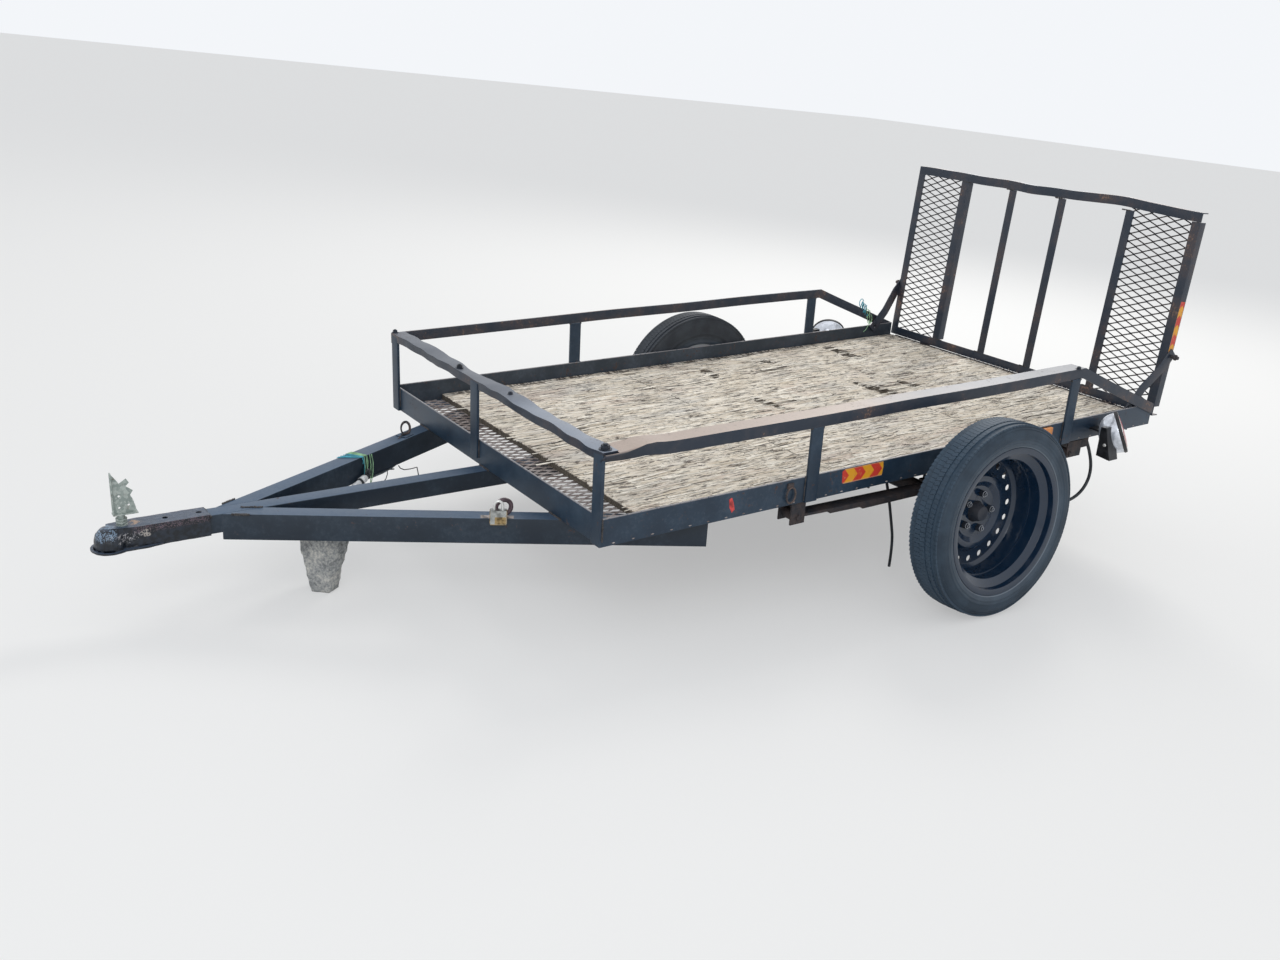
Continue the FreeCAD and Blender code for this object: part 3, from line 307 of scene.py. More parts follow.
def rustyBar(name, coords="level", rust=0.5, top=((0.30, 0.235, 0.215), (0.27, 0.30, 0.34)), along=None):
    # dark slate paint, rust that shows through, and paler upper faces: worn pinkish paint and a painted bluish sky
    # sheen
    s = Finish(name, coords)
    blotch = s.speckle(9, 6, 0.65)
    fine = s.speckle(120, 4, 0.6, shift=5)
    streak = s.speckle(3.2, 3, 0.5, shift=19)
    s.colour = s.mix(s.step(blotch, 0.38, 0.66), (0.014, 0.024, 0.042), (0.044, 0.045, 0.058))
    brown = s.step(blotch + fine * 0.35, 0.66, 0.86) * (0.30 + rust * 0.5)
    s.tint(brown, (0.060, 0.038, 0.036))
    mask = s.step(blotch + fine * 0.8, 1.13 - rust * 0.2, 1.24 - rust * 0.2)
    s.tint(mask * 0.75, s.ramp(fine, (0.35, (0.095, 0.048, 0.034)), (0.65, (0.24, 0.155, 0.115))))
    change = s.step(streak, 0.40, 0.60)
    if along:
        axis, first, last = along
        change = s.step((s.x, s.y)[axis] + (streak - 0.5) * 0.8, first, last)
    pale = s.mix(change, *top)
    pale = s.mix(s.step(fine + blotch * 0.5, 0.80, 0.98) * 0.5, pale, (0.11, 0.095, 0.095))
    # painted sky sheen with worn paint on the upper faces
    s.tint(s.upward(0.6, 0.93) * (0.62 + fine * 0.4), pale)
    height = mask * 0.7 + fine * 0.5
    return s.finish(0.42 + mask * 0.30, s.bump(height, 0.35, 0.0007))


# ragged hollows in the deck, painted near black for the shade inside them: middle x, y and half sizes in metres
hollows = (
    (-0.545, 1.852, 0.034, 0.022), (-0.497, 1.858, 0.032, 0.028), (-0.452, 1.846, 0.036, 0.022),
    (-0.410, 1.856, 0.030, 0.024), (-0.368, 1.845, 0.028, 0.015), (-0.478, 1.168, 0.026, 0.017),
    (-0.436, 1.158, 0.032, 0.019), (-0.400, 1.150, 0.018, 0.012), (-0.504, 1.469, 0.028, 0.014),
    (-0.100, 1.598, 0.032, 0.018), (-0.048, 1.608, 0.038, 0.026), (0.005, 1.618, 0.040, 0.028),
    (0.052, 1.624, 0.026, 0.016), (-0.055, 1.766, 0.026, 0.014), (-0.014, 1.779, 0.026, 0.017),
    (-0.112, 1.120, 0.026, 0.014), (-0.066, 1.128, 0.030, 0.017), (-0.022, 1.135, 0.022, 0.012),
)
# fine cracks across the grain, drawn as dark lines of painted shade: first x, last x, y
crossCracks = (
    (0.165, 0.240, 0.519), (0.150, 0.222, 0.861), (0.252, 0.400, 0.8635), (0.160, 0.335, 1.6045), (0.170, 0.300, 1.886),
    (0.212, 0.296, 2.230), (-0.630, -0.365, 0.8635), (-0.300, -0.140, 0.8640), (0.430, 0.560, 1.6040),
)


def plywood(name, top=-0.0495):
    s = Finish(name)
    drift = s.speckle(3.1, 3, 0.5, shift=31)
    s.place = s.vector("ADD", s.place, s.add("ShaderNodeCombineXYZ", {}, (drift - 0.5) * 0.035, 0.0, 0.0))
    grain = s.speckle(1, 5, 0.66, (105, 7, 40))
    thread = s.speckle(1, 3, 0.6, (420, 18, 150), shift=4)
    patch = s.speckle(4.5, 5, 0.6, shift=9)
    stain = s.speckle(1, 5, 0.62, (10, 2.6, 1), shift=15)
    tint = s.speckle(1, 4, 0.55, (8, 3.2, 1), shift=33)
    # layers of veneer: the contour lines of a stretched noise are their torn edges, each darkened with painted shade
    # along it
    layers = s.speckle(1, 5, 0.62, (26, 3.4, 1), shift=2) * 12
    part = layers % 1
    layer = layers - part
    tone = (layer * 0.618) % 1
    torn = s.step(part, 0.20, 0.03) * s.step(s.speckle(1, 3, 0.6, (48, 11, 1), shift=12), 0.46, 0.56)
    lifted = s.step(part, 0.78, 0.95) * s.step(s.speckle(1, 3, 0.6, (40, 9, 1), shift=14), 0.48, 0.60)
    crack = s.step(s.speckle(1, 4, 0.70, (115, 12, 50), shift=21), 0.565, 0.605)
    short = s.step(s.speckle(1, 4, 0.66, (84, 24, 50), shift=27, distortion=0.6), 0.585, 0.620)
    s.colour = s.ramp(grain * 0.72 + thread * 0.28, (0.34, (0.36, 0.275, 0.195)), (0.44, (0.68, 0.590, 0.470)),
                      (0.52, (0.85, 0.775, 0.660)), (0.62, (0.95, 0.900, 0.810)))
    s.tint(s.step(tone, 0.45, 0.95) * 0.35, (0.80, 0.70, 0.54))
    s.tint(s.step(1 - tone, 0.75, 1.0) * 0.30, (0.52, 0.46, 0.40))
    s.tint(s.step(stain, 0.50, 0.66) * 0.45, (0.50, 0.505, 0.50))
    s.tint(s.step(tint, 0.55, 0.68) * 0.40, (0.66, 0.52, 0.44))
    s.tint(s.step(patch, 0.58, 0.72) * 0.35, (0.74, 0.60, 0.49))
    s.tint(lifted * 0.6, (0.93, 0.90, 0.84))
    fringe = s.step(s.x, -0.588, -0.606) * s.step(s.speckle(1, 3, 0.6, (14, 130, 1), shift=25), 0.47, 0.53)
    fringe *= s.step(s.speckle(1, 2, 0.5, (1, 3.1, 1), shift=29), 0.46, 0.54)
    # painted shade in the cracks and along the torn veneer edges, with dark streaks along the far edge
    dark = (torn * 0.80 + crack * 0.86 + short * 0.80 + fringe * 0.9).capped()
    s.tint(dark, (0.055, 0.038, 0.028))
    ragged = (s.speckle(1, 4, 0.7, (70, 40, 60), shift=17) - 0.5) * 1.7
    pit = None
    for x, y, wide, long in hollows:
        near = s.step(s.away((x, y, 0), (wide, long, 0)) + ragged, 1.14, 0.90)
        pit = near if pit is None else pit.calc("MAXIMUM", pit, near)
    x, y = (s.part(i, s.place) for i in (0, 1))
    line = None
    for first, last, back in crossCracks:
        here = s.step((y - back + (drift - 0.5) * 0.010).absolute(), 0.0022, 0.0010) * (x > first) * (x < last)
        line = here if line is None else line.calc("MAXIMUM", line, here)
    # painted shade in the cracks across the grain
    s.tint(line * 0.85, (0.050, 0.036, 0.030))
    # painted shade: the hollows near black
    s.tint(pit, (0.008, 0.007, 0.007))
    # the ply's edges show below the top face
    ply = s.step((s.z * 278) % 1, 0.35, 0.65)
    side = s.step(s.z, top - 0.0016, top - 0.0026)
    s.tint(side, s.mix(ply, (0.30, 0.255, 0.20), (0.040, 0.033, 0.028)))
    height = grain * 0.5 + thread * 0.30 + part * 0.55 - dark * 1.0 - line - pit * 3
    return s.finish(0.9, s.bump(height, 0.95, 0.0030))


rubber = {
    # rim seat and outer radius in metres, and two tones; the left tyre's tones carry a painted blue cast of sky-lit
    # shade
    "left": (0.226, 0.296, (0.012, 0.026, 0.044), (0.024, 0.045, 0.070)),
    "right": (0.179, 0.2879, (0.012, 0.015, 0.021), (0.026, 0.032, 0.040)),
}


def tyreRubber(name, side):
    s = Finish(name, side)
    seat, outer, low, high = rubber[side]
    radius = s.vector("LENGTH", s.stretched(1, 1, 0), out="Value")
    dust = s.speckle(14, 5, 0.6)
    grit = s.speckle(260, 3, 0.6, shift=3)
    band = s.step(radius, seat + 0.034, seat + 0.008)
    rings = s.step((radius * 330) % 1, 0.70, 0.95) * s.step(radius, outer - 0.018, outer - 0.026)
    tread = s.step(radius, outer - 0.010, outer - 0.002)
    s.colour = s.mix(s.step(dust, 0.35, 0.70), low, high)
    s.tint(tread * (0.30 + dust * 0.5), [c * 1.7 + 0.004 for c in high])
    s.tint(rings * 0.30, (0.070, 0.100, 0.135))
    s.tint(band * (0.15 + dust * 0.5), (0.085, 0.115, 0.150))
    # a painted highlight: a thin pale line on the bead by the rim lip
    lip = s.step((radius - seat - 0.0030).absolute(), 0.0016, 0.0006)
    s.tint(lip * 0.55, (0.22, 0.25, 0.29))
    s.tint(s.step(grit, 0.64, 0.76) * 0.25, (0.13, 0.14, 0.15))
    return s.finish(0.66 - band * 0.08, s.bump(grit * 0.5 + dust * 0.3 + rings * 0.6, 0.25, 0.0008))


def rimPaint(name, side, base, sheen, spotted=1.0):
    s = Finish(name, side)
    dust = s.speckle(20, 5, 0.62)
    grit = s.speckle(300, 3, 0.6, shift=5)
    dusty = s.step(dust + grit * 0.3, 0.58, 0.90)
    s.colour = s.mix(dusty * (0.30 * spotted), base, [c * 0.6 + 0.050 for c in base])
    spots = s.step(grit + dust * 0.5, 1.02, 1.12)
    s.tint(spots * (0.6 * spotted), (0.30, 0.27, 0.24))
    return s.finish(sheen + dusty * (0.25 * spotted), s.bump(dust, 0.08, 0.0006), Coat_Weight=0.30, Coat_Roughness=0.12)


def rustySteel(name, coords="level", dark=(0.030, 0.024, 0.022), light=(0.165, 0.085, 0.052)):
    s = Finish(name, coords)
    blotch = s.speckle(22, 6, 0.65)
    fine = s.speckle(240, 4, 0.6, shift=5)
    s.colour = s.mix(s.step(blotch + fine * 0.4, 0.55, 0.92), dark, light)
    return s.finish(0.72, s.bump(fine + blotch, 0.5, 0.0008))


def galvanised(name):
    s = Finish(name)
    spangle = s.add("ShaderNodeTexVoronoi", {}, Vector=s.place, Scale=150, out="Color")
    tone = s.part(0, spangle)
    stain = s.speckle(60, 5, 0.65)
    s.colour = s.mix(s.step(tone, 0.2, 0.9), (0.27, 0.315, 0.295), (0.43, 0.475, 0.445))
    s.tint(s.step(stain, 0.56, 0.70) * 0.7, (0.17, 0.145, 0.115))
    return s.finish(0.46 + stain * 0.3, s.bump(stain, 0.2, 0.0005), 0.45)


# patches on the coupler, worn and rusty, and on the nose a bluish painted sheen: level place and half size in metres,
# how sparse, and colour
couplerPatches = (
    ((-0.004, -0.960, -0.068), (0.017, 0.021, 0.016), 0.49, (0.42, 0.27, 0.17)),
    ((0.030, -0.942, -0.082), (0.012, 0.016, 0.011), 0.50, (0.36, 0.33, 0.30)),
    ((0.010, -1.030, -0.070), (0.034, 0.030, 0.026), 0.50, (0.20, 0.28, 0.38)),
    ((0.028, -0.985, -0.086), (0.018, 0.034, 0.014), 0.52, (0.34, 0.33, 0.34)),
)


def tar(name):
    s = Finish(name)
    lump = s.speckle(75, 5, 0.6)
    fine = s.speckle(330, 3, 0.6, shift=3)
    patch = s.speckle(30, 5, 0.72, shift=8)
    s.colour = s.mix(s.step(lump, 0.42, 0.6), (0.004, 0.007, 0.012), (0.013, 0.020, 0.033))
    # painted sky sheen: upward faces lighter and bluer
    sky = s.upward(0.8, 0.97)
    s.tint(sky * (0.5 + lump * 0.5), (0.070, 0.098, 0.150))
    edge = s.step(s.z, -0.084, -0.074) * s.step(s.x.absolute(), 0.024, 0.030) * s.step(s.y, -0.985, -0.960)
    s.tint(edge * s.step(fine + lump * 0.4, 0.66, 0.80) * 0.7, (0.16, 0.105, 0.125))
    rust = s.step(patch + fine * 0.35, 0.84, 0.93)
    s.tint(rust * 0.75, s.ramp(fine, (0.35, (0.075, 0.045, 0.045)), (0.65, (0.42, 0.33, 0.31))))
    # the bluish patch on the nose is a painted sheen
    for middle, half, bare, tint in couplerPatches:
        near = s.step(s.away(middle, half) + (patch - 0.5) * 3.0, 1.05, 0.85)
        s.tint(near * s.step(fine * 0.5 + lump * 0.5, bare, bare + 0.05), tint)
    return s.finish(0.26 + rust * 0.5 + fine * 0.1, s.bump(lump * 1.0 + fine * 0.5, 0.85, 0.0018))


def rock(name):
    s = Finish(name)
    grain = s.speckle(120, 5, 0.7)
    patch = s.speckle(16, 5, 0.6, shift=5)
    s.colour = s.ramp(grain * 0.6 + patch * 0.4, (0.36, (0.11, 0.115, 0.12)), (0.5, (0.33, 0.34, 0.34)),
                      (0.64, (0.66, 0.64, 0.59)))
    return s.finish(0.93, s.bump(grain + patch, 1.0, 0.003))


def plainFinish(name, colour, roughness=0.5, metallic=0.0, variation=0.25, coords="level", **fixed):
    s = Finish(name, coords)
    blotch = s.speckle(55, 4, 0.6)
    low = [c * (1 - variation) for c in colour]
    high = [min(1, c * (1 + variation) + 0.01) for c in colour]
    s.colour = s.mix(s.step(blotch, 0.35, 0.65), low, high)
    return s.finish(blotch * 0.2 + (roughness - 0.1), s.bump(blotch, 0.15, 0.0005), metallic, **fixed)


def chevronTape(name, coords, axis, start, middle, across, pitch=0.033):
    # bands that point along one axis, red and yellow by turns, with a worn pale edge
    s = Finish(name, coords)
    along, side = (s.y, s.z) if axis == 1 else (s.z, s.y)
    off = (side - middle).absolute()
    band = ((along - start + off * 0.85) / (pitch * 2)) % 1
    worn = s.speckle(95, 5, 0.7)
    stain = s.speckle(48, 5, 0.7, shift=6)
    edge = (s.step(off, across * 0.82, across * 0.96) + s.step(worn, 0.60, 0.68)).capped()
    s.colour = s.mix(s.step(band, 0.47, 0.53), (0.60, 0.045, 0.03), (0.78, 0.36, 0.02))
    s.tint(s.step(stain, 0.52, 0.66) * 0.6, (0.62, 0.16, 0.03))
    s.tint(edge * 0.75, (0.60, 0.36, 0.22))
    s.tint(s.step(stain + worn * 0.5, 0.92, 1.0) * 0.7, (0.10, 0.055, 0.04))
    return s.finish(0.42, s.bump(worn, 0.2, 0.0005))


def lensFinish(name, colour, coords="level"):
    s = Finish(name, coords)
    dust = s.speckle(60, 4, 0.6)
    ribs = s.add("ShaderNodeTexWave", {"bands_direction": "X"}, Vector=s.place, Scale=70.0, Distortion=0.0)
    s.colour = s.mix(dust * 0.3, colour, [c * 0.6 + 0.03 for c in colour])
    return s.finish(0.16 + dust * 0.1, s.bump(ribs, 0.3, 0.0006), Coat_Weight=0.5)


paints = {
    "rail": blackPaint("railPaint", topEdge=0.0, wear=0.5, dust=0.7),
    "tongue": blackPaint("tonguePaint", wear=0.30, dust=0.4, tone=0.55),
    "post": blackPaint("postPaint", wear=0.45, dust=0.4),
    "bar": rustyBar("barPaint", rust=0.45),
    # the near and front bars' top colours change along them: painted sheen of varying strength, with worn pinkish paint
    # at the near bar's front
    "barNear": rustyBar("barNearPaint", rust=0.5, top=((0.54, 0.43, 0.36), (0.31, 0.32, 0.35)), along=(1, 0.75, 1.35)),
    "barFront": rustyBar("barFrontPaint", rust=0.3, top=((0.14, 0.155, 0.185), (0.31, 0.35, 0.42)),
                         along=(0, -0.10, 0.35)),
    "railFar": blackPaint("railFarPaint", topEdge=0.0, wear=0.75, dust=0.8, tint=(1.9, 1.12, 0.86)),
    "boltDark": plainFinish("boltDark", (0.016, 0.022, 0.034), 0.4, 0.3, 0.4),
    "gate": rustyBar("gatePaint", "gate", rust=0.35, top=((0.56, 0.51, 0.50), (0.45, 0.47, 0.51))),
    "gateMesh": rustySteel("gateMeshSteel", "gate", (0.012, 0.014, 0.020), (0.050, 0.040, 0.040)),
    "deckMesh": rustySteel("deckMeshSteel", dark=(0.16, 0.125, 0.115), light=(0.52, 0.47, 0.45)),
    "wood": plywood("plywood"),
    "tyreLeft": tyreRubber("tyreRubberLeft", "left"),
    "tyreRight": tyreRubber("tyreRubberRight", "right"),
    # the black rim's navy base is a painted blue cast of sky-lit shade
    "rimLeft": rimPaint("blackRim", "left", (0.006, 0.020, 0.046), 0.15, 0.22),
    "rimRight": rimPaint("silverRim", "right", (0.42, 0.43, 0.44), 0.34),
    "hubLeft": rustySteel("hubSteelLeft", "left", (0.010, 0.017, 0.030), (0.040, 0.042, 0.052)),
    "nut": plainFinish("nutSteel", (0.42, 0.44, 0.48), 0.30, 0.2, 0.3, "left"),
    "hubRight": rustySteel("hubSteelRight", "right"),
    "under": rustySteel("axleSteel", dark=(0.014, 0.017, 0.024), light=(0.062, 0.044, 0.040)),
    "tar": tar("couplerTar"),
    "zinc": galvanised("latchZinc"),
    "rock": rock("propRock"),
    "lamp": plainFinish("lampShell", (0.035, 0.035, 0.038), 0.45),
    "amber": plainFinish("amberLens", (0.62, 0.20, 0.015), 0.22, variation=0.15, Coat_Weight=0.4),
    "pin": rustySteel("pinSteel", dark=(0.026, 0.026, 0.032), light=(0.135, 0.095, 0.080)),
    "link": plainFinish("linkSteel", (0.085, 0.055, 0.066), 0.38, 0.3, 0.4),
    "wire": plainFinish("wireRubber", (0.010, 0.014, 0.020), 0.55),
    "sliver": plainFinish("splinterWood", (0.82, 0.765, 0.67), 0.9, variation=0.18),
    "railTape": chevronTape("railTape", "level", 1, 0.800, -0.0245, 0.022),
    "gateTape": chevronTape("gateTape", "gate", 2, 0.230, 0.0, 0.0135),
    "redScrap": plainFinish("redScrap", (0.52, 0.045, 0.04), 0.5, variation=0.5),
    "chrome": plainFinish("chromeShell", (0.74, 0.77, 0.83), 0.22, 0.55, 0.16),
    "redLens": lensFinish("redLens", (0.42, 0.008, 0.012)),
    "gasket": plainFinish("gasket", (0.012, 0.012, 0.013), 0.5),
    "box": plainFinish("blackBox", (0.010, 0.011, 0.014), 0.33),
    "screw": plainFinish("screwZinc", (0.72, 0.72, 0.70), 0.3, 0.6, 0.1),
    "lock": plainFinish("lockShell", (0.36, 0.37, 0.36), 0.25, 1.0, 0.35),
    "brass": plainFinish("lockBrass", (0.30, 0.215, 0.105), 0.28, 1.0, 0.5),
    "blueString": plainFinish("blueString", (0.07, 0.36, 0.46), 0.7),
    "greenString": plainFinish("greenString", (0.30, 0.52, 0.30), 0.7),
    "plug": plainFinish("plugWhite", (0.62, 0.63, 0.64), 0.45),
    "weld": plainFinish("weldBead", (0.040, 0.036, 0.036), 0.5, 0.2, 0.5),
    "plate": plainFinish("loosePlate", (0.13, 0.15, 0.17), 0.42, 0.4, 0.3),
    "scar": plainFinish("weldScar", (0.33, 0.295, 0.28), 0.6, 0.2, 0.5),
}
for made in cordObjects.values():
    made.data.materials.append(paints["wire"])
print("materials made")


def bodyOf(name):
    return next(body for body, empty in frame["bodies"].items() if nodes[name].parent is empty)


def addPiece(name, mesh, paint, body="chassis", replaced=(), slot=None, smooth=35):
    for polygon in mesh.polygons:
        polygon.use_smooth = True
    mesh.set_sharp_from_angle(angle=math.radians(smooth))
    mesh.materials.clear()
    mesh.materials.append(paints[paint])
    made = addObject(name, mesh)
    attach(made, body)
    if replaced:
        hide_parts(*replaced)
    return made


def around(radius, count):
    turns = [math.tau * i / count for i in range(count)]
    return [(radius * math.cos(turn), radius * math.sin(turn)) for turn in turns]


class Shape:
    # simple closed solids in one mesh, drawn in millimetres in their own home
    def __init__(self, home=None):
        self.mesh = bmesh.new()
        self.home = (levelToWorld if home is None else home) @ Matrix.Scale(0.001, 4)

    def put(self, points, faces):
        made = [self.mesh.verts.new(self.home @ Vector(point)) for point in points]
        for face in faces:
            self.mesh.faces.new([made[i] for i in face])
        return made

    def block(self, low, high):
        corners = [(x, y, z) for x in (low[0], high[0]) for y in (low[1], high[1]) for z in (low[2], high[2])]
        self.put(corners, ((0, 1, 3, 2), (4, 6, 7, 5), (0, 4, 5, 1), (2, 3, 7, 6), (0, 2, 6, 4), (1, 5, 7, 3)))

    def tube(self, path, radius, sides=8, closed=False):
        # the radius may be one number or one for each point
        path = [Vector(point) for point in path]
        count = len(path)
        sizes = radius if isinstance(radius, tuple) else (radius,) * count
        points, across = [], None
        for i, point in enumerate(path):
            before = path[i - 1] if closed or i else point
            after = path[(i + 1) % count] if closed or i < count - 1 else point
            out = (after - before).normalized()
            across = out.orthogonal().normalized() if across is None else (across - out * across.dot(out)).normalized()
            up = out.cross(across)
            points += [point + across * a + up * b for a, b in around(sizes[i], sides)]
        faces = []
        for i in range(count if closed else count - 1):
            one, two = i * sides, (i + 1) % count * sides
            faces += [(one + j, one + (j + 1) % sides, two + (j + 1) % sides, two + j) for j in range(sides)]
        if not closed:
            faces += [tuple(range(sides))[::-1], tuple(range((count - 1) * sides, count * sides))]
        self.put(points, faces)

    def lathe(self, profile, sides=96):
        # a closed section of (radius, place) turned about the home's z
        rows = []
        for radius, place in profile:
            ring = around(radius, sides) if radius > 0 else [(0, 0)]
            rows.append([self.mesh.verts.new(self.home @ Vector((a, b, place))) for a, b in ring])
        for one, two in zip(rows, rows[1:] + rows[:1]):
            if len(one) == 1 and len(two) == 1:
                continue
            for i in range(sides):
                j = (i + 1) % sides
                corners = [one[i % len(one)], two[i % len(two)], two[j % len(two)], one[j % len(one)]]
                self.mesh.faces.new(list(dict.fromkeys(corners)))

    def plate(self, corners, low, high, axis):
        # an outline in the plane across an axis, between two places on it
        count = len(corners)
        points = []
        for place in (low, high):
            for a, b in corners:
                spot = [a, b]
                spot.insert(axis, place)
                points.append(spot)
        faces = [tuple(range(count)), tuple(range(count, count * 2))[::-1]]
        faces += [(i, i + count, (i + 1) % count + count, (i + 1) % count) for i in range(count)]
        self.put(points, faces)

    def soften(self, offset, angle=0.5, segments=2):
        sharp = [e for e in self.mesh.edges if len(e.link_faces) == 2 and e.calc_face_angle() > angle]
        bmesh.ops.bevel(self.mesh, geom=sharp, offset=offset * 0.001, segments=segments, profile=0.7,
                        affect="EDGES", clamp_overlap=True)

    def cutAlong(self, axis, places):
        # edge loops across a level axis, so that long pieces can bend
        way = levelToWorld.to_3x3().col[axis]
        for place in places:
            spot = Vector()
            spot[axis] = place * 0.001
            everything = self.mesh.verts[:] + self.mesh.edges[:] + self.mesh.faces[:]
            bmesh.ops.bisect_plane(self.mesh, geom=everything, plane_co=levelToWorld @ spot, plane_no=way)

    def push(self, shift):
        # moves each corner by a function of its level place, in millimetres
        back, turn = levelToWorld.inverted(), levelToWorld.to_3x3()
        for vert in self.mesh.verts:
            vert.co += turn @ (Vector(shift((back @ vert.co) * 1000)) * 0.001)

    def done(self, name, paint, body="chassis", **settings):
        bmesh.ops.recalc_face_normals(self.mesh, faces=self.mesh.faces)
        mesh = bpy.data.meshes.new(name)
        self.mesh.to_mesh(mesh)
        self.mesh.free()
        return addPiece(name, mesh, paint, body, **settings)


def draw(name, paint, home, *steps, body="chassis", **settings):
    # one piece from steps such as ("block", low, high)
    shape = Shape(home)
    for step, *values in steps:
        getattr(shape, step)(*values)
    shape.done(name, paint, body, **settings)


def copied(*names, angle=0.02):
    made = Shape()
    for name in names:
        made.mesh.from_mesh(nodes[name].data)
    bmesh.ops.remove_doubles(made.mesh, verts=made.mesh.verts, dist=1e-5)
    bmesh.ops.dissolve_limit(made.mesh, angle_limit=angle, verts=made.mesh.verts, edges=made.mesh.edges)
    return made


def wander(place, scale, size, seed=0.0):
    return noise.noise(Vector((place.x / scale + seed, place.y / scale - seed, place.z / scale + seed * 2))) * size


def sheetMesh(x0, x1, y0, y1, z):
    mesh = bpy.data.meshes.new("sheet")
    mesh.from_pydata([(x0, y0, z), (x1, y0, z), (x1, y1, z), (x0, y1, z)], [], [(0, 1, 2, 3)])
    return mesh


class Tree(Graph):
    def __init__(self, name, **wanted):
        tree = bpy.data.node_groups.new(name, "GeometryNodeTree")
        super().__init__(tree)
        tree.interface.new_socket("Geometry", in_out="INPUT", socket_type="NodeSocketGeometry")
        tree.interface.new_socket("Geometry", in_out="OUTPUT", socket_type="NodeSocketGeometry")
        kinds = {int: "NodeSocketInt", float: "NodeSocketFloat"}
        for key, value in wanted.items():
            tree.interface.new_socket(key, in_out="INPUT", socket_type=kinds[type(value)]).default_value = value
        tree.interface.new_socket("Finish", in_out="INPUT", socket_type="NodeSocketMaterial")
        self.source = tree.nodes.new("NodeGroupInput")

    def geo(self, kind, *values, **named):
        return self.add("GeometryNode" + kind, {}, *values, **named)

    def given(self, name):
        return Field(self, self.source.outputs[name])

    def joinVector(self, x=0.0, y=0.0, z=0.0):
        return self.add("ShaderNodeCombineXYZ", {}, x, y, z)

    def varied(self, low, high, seed):
        return self.add("FunctionNodeRandomValue", {"data_type": "FLOAT_VECTOR"}, low, high, Seed=seed)

    def close(self, geometry):
        painted = self.geo("SetMaterial", self.geo("RealizeInstances", geometry), Material=self.given("Finish"))
        self.tree.links.new(painted.socket, self.tree.nodes.new("NodeGroupOutput").inputs[0])
        return self.tree


def grow(tree, name, paint, home=None, base=None, body="chassis", replaced=(), slot=None, smooth=35, **values):
    mesh = base or bpy.data.meshes.new(name + "Base")
    holder = addObject(name + "Holder", mesh)
    modifier = holder.modifiers.new("grow", "NODES")
    modifier.node_group = tree
    for item in tree.interface.items_tree:
        if item.in_out == "INPUT" and item.name in values:
            modifier[item.identifier] = values[item.name]
        if item.in_out == "INPUT" and item.name == "Finish":
            modifier[item.identifier] = paints[paint]
    made = bpy.data.meshes.new_from_object(evaluated(holder))
    bpy.data.objects.remove(holder)
    bpy.data.meshes.remove(mesh)
    if home is not None:
        made.transform(home)
    return addPiece(name, made, paint, body, replaced=replaced, slot=slot, smooth=smooth)


def meshTree():
    # a sheet of diamonds: rows of zigzag strands that meet at their bonds
    t = Tree("expandedMetal", Wide=1.0, Long=1.0, DiamondWide=0.06, DiamondLong=0.027, Strand=0.004, Thick=0.0026,
             Lean=0.6)
    wide, long = t.given("Wide"), t.given("Long")
    countX = wide.calc("ROUND", wide / (t.given("DiamondWide") * 0.5)) + 1
    countY = wide.calc("ROUND", long / (t.given("DiamondLong") * 0.5)) + 1
    grid = t.geo("MeshGrid", wide, long, countX, countY)
    run = t.vector("SUBTRACT", *(t.geo("InputMeshEdgeVertices", out=f"Position {i}") for i in (1, 2)))
    runY = t.part(1, run)
    rows = t.add("GeometryNodeDeleteGeometry", {"domain": "EDGE", "mode": "EDGE_FACE"}, grid, runY.absolute() > 0.0001)
    place = t.geo("InputPosition")
    x = t.part(0, place)
    y = t.part(1, place)
    stepX = x.calc("ROUND", (x + wide * 0.5) / (wide / (countX - 1)))
    stepY = x.calc("ROUND", (y + long * 0.5) / (long / (countY - 1)))
    sign = 1 - (stepX + stepY) % 2 * 2
    shift = sign * long / (countY - 1) * 0.44
    uneven = t.add("ShaderNodeTexNoise", {}, Vector=place, Scale=9.0, Detail=1.0)
    moved = t.geo("SetPosition", rows, Offset=t.joinVector(0.0, shift, (uneven - 0.5) * 0.0016))
    curve = t.geo("MeshToCurve", moved)
    tilted = t.geo("SetCurveTilt", curve, Tilt=t.given("Lean"))
    ring = t.geo("CurvePrimitiveQuadrilateral", t.given("Strand"), t.given("Thick"))
    return t.close(t.geo("CurveToMesh", tilted, ring, Fill_Caps=True))


def treadTree():
    # rows of blocks round a tyre, each row a little turned from the next
    t = Tree("treadRing", Radius=0.29, Span=0.08, Count=72, Rows=5, BlockWide=0.014, BlockLong=0.02, Tall=0.006,
             Drop=2.0)
    radius, span, rows = t.given("Radius"), t.given("Span"), t.given("Rows")
    pitch = span / (rows - 1)
    line = t.geo("MeshLine", rows, None, t.joinVector(radius, 0.0, span * -0.5), t.joinVector(0.0, 0.0, pitch))
    place = t.geo("InputPosition")
    z = t.part(2, place)
    row = t.geo("InputIndex")
    stagger = (row * 0.382) % 1.0
    bent = t.geo("SetPosition", line, Offset=t.joinVector(z * z * t.given("Drop") * -1, (stagger - 0.5) * 0.01, 0.0))
    block = t.geo("MeshCube", t.joinVector(t.given("Tall"), t.given("BlockLong"), t.given("BlockWide")))
    lean = t.joinVector((stagger - 0.5) * 0.5, z * t.given("Drop") * 2.2, 0.0)
    strip = t.geo("InstanceOnPoints", bent, Instance=block, Rotation=lean)
    strip = t.geo("RealizeInstances", strip)
    spots = t.geo("MeshLine", t.given("Count"), None, None, t.joinVector())
    turn = t.joinVector(0.0, 0.0, t.geo("InputIndex") * math.tau / t.given("Count"))
    return t.close(t.geo("InstanceOnPoints", spots, Instance=strip, Rotation=turn))


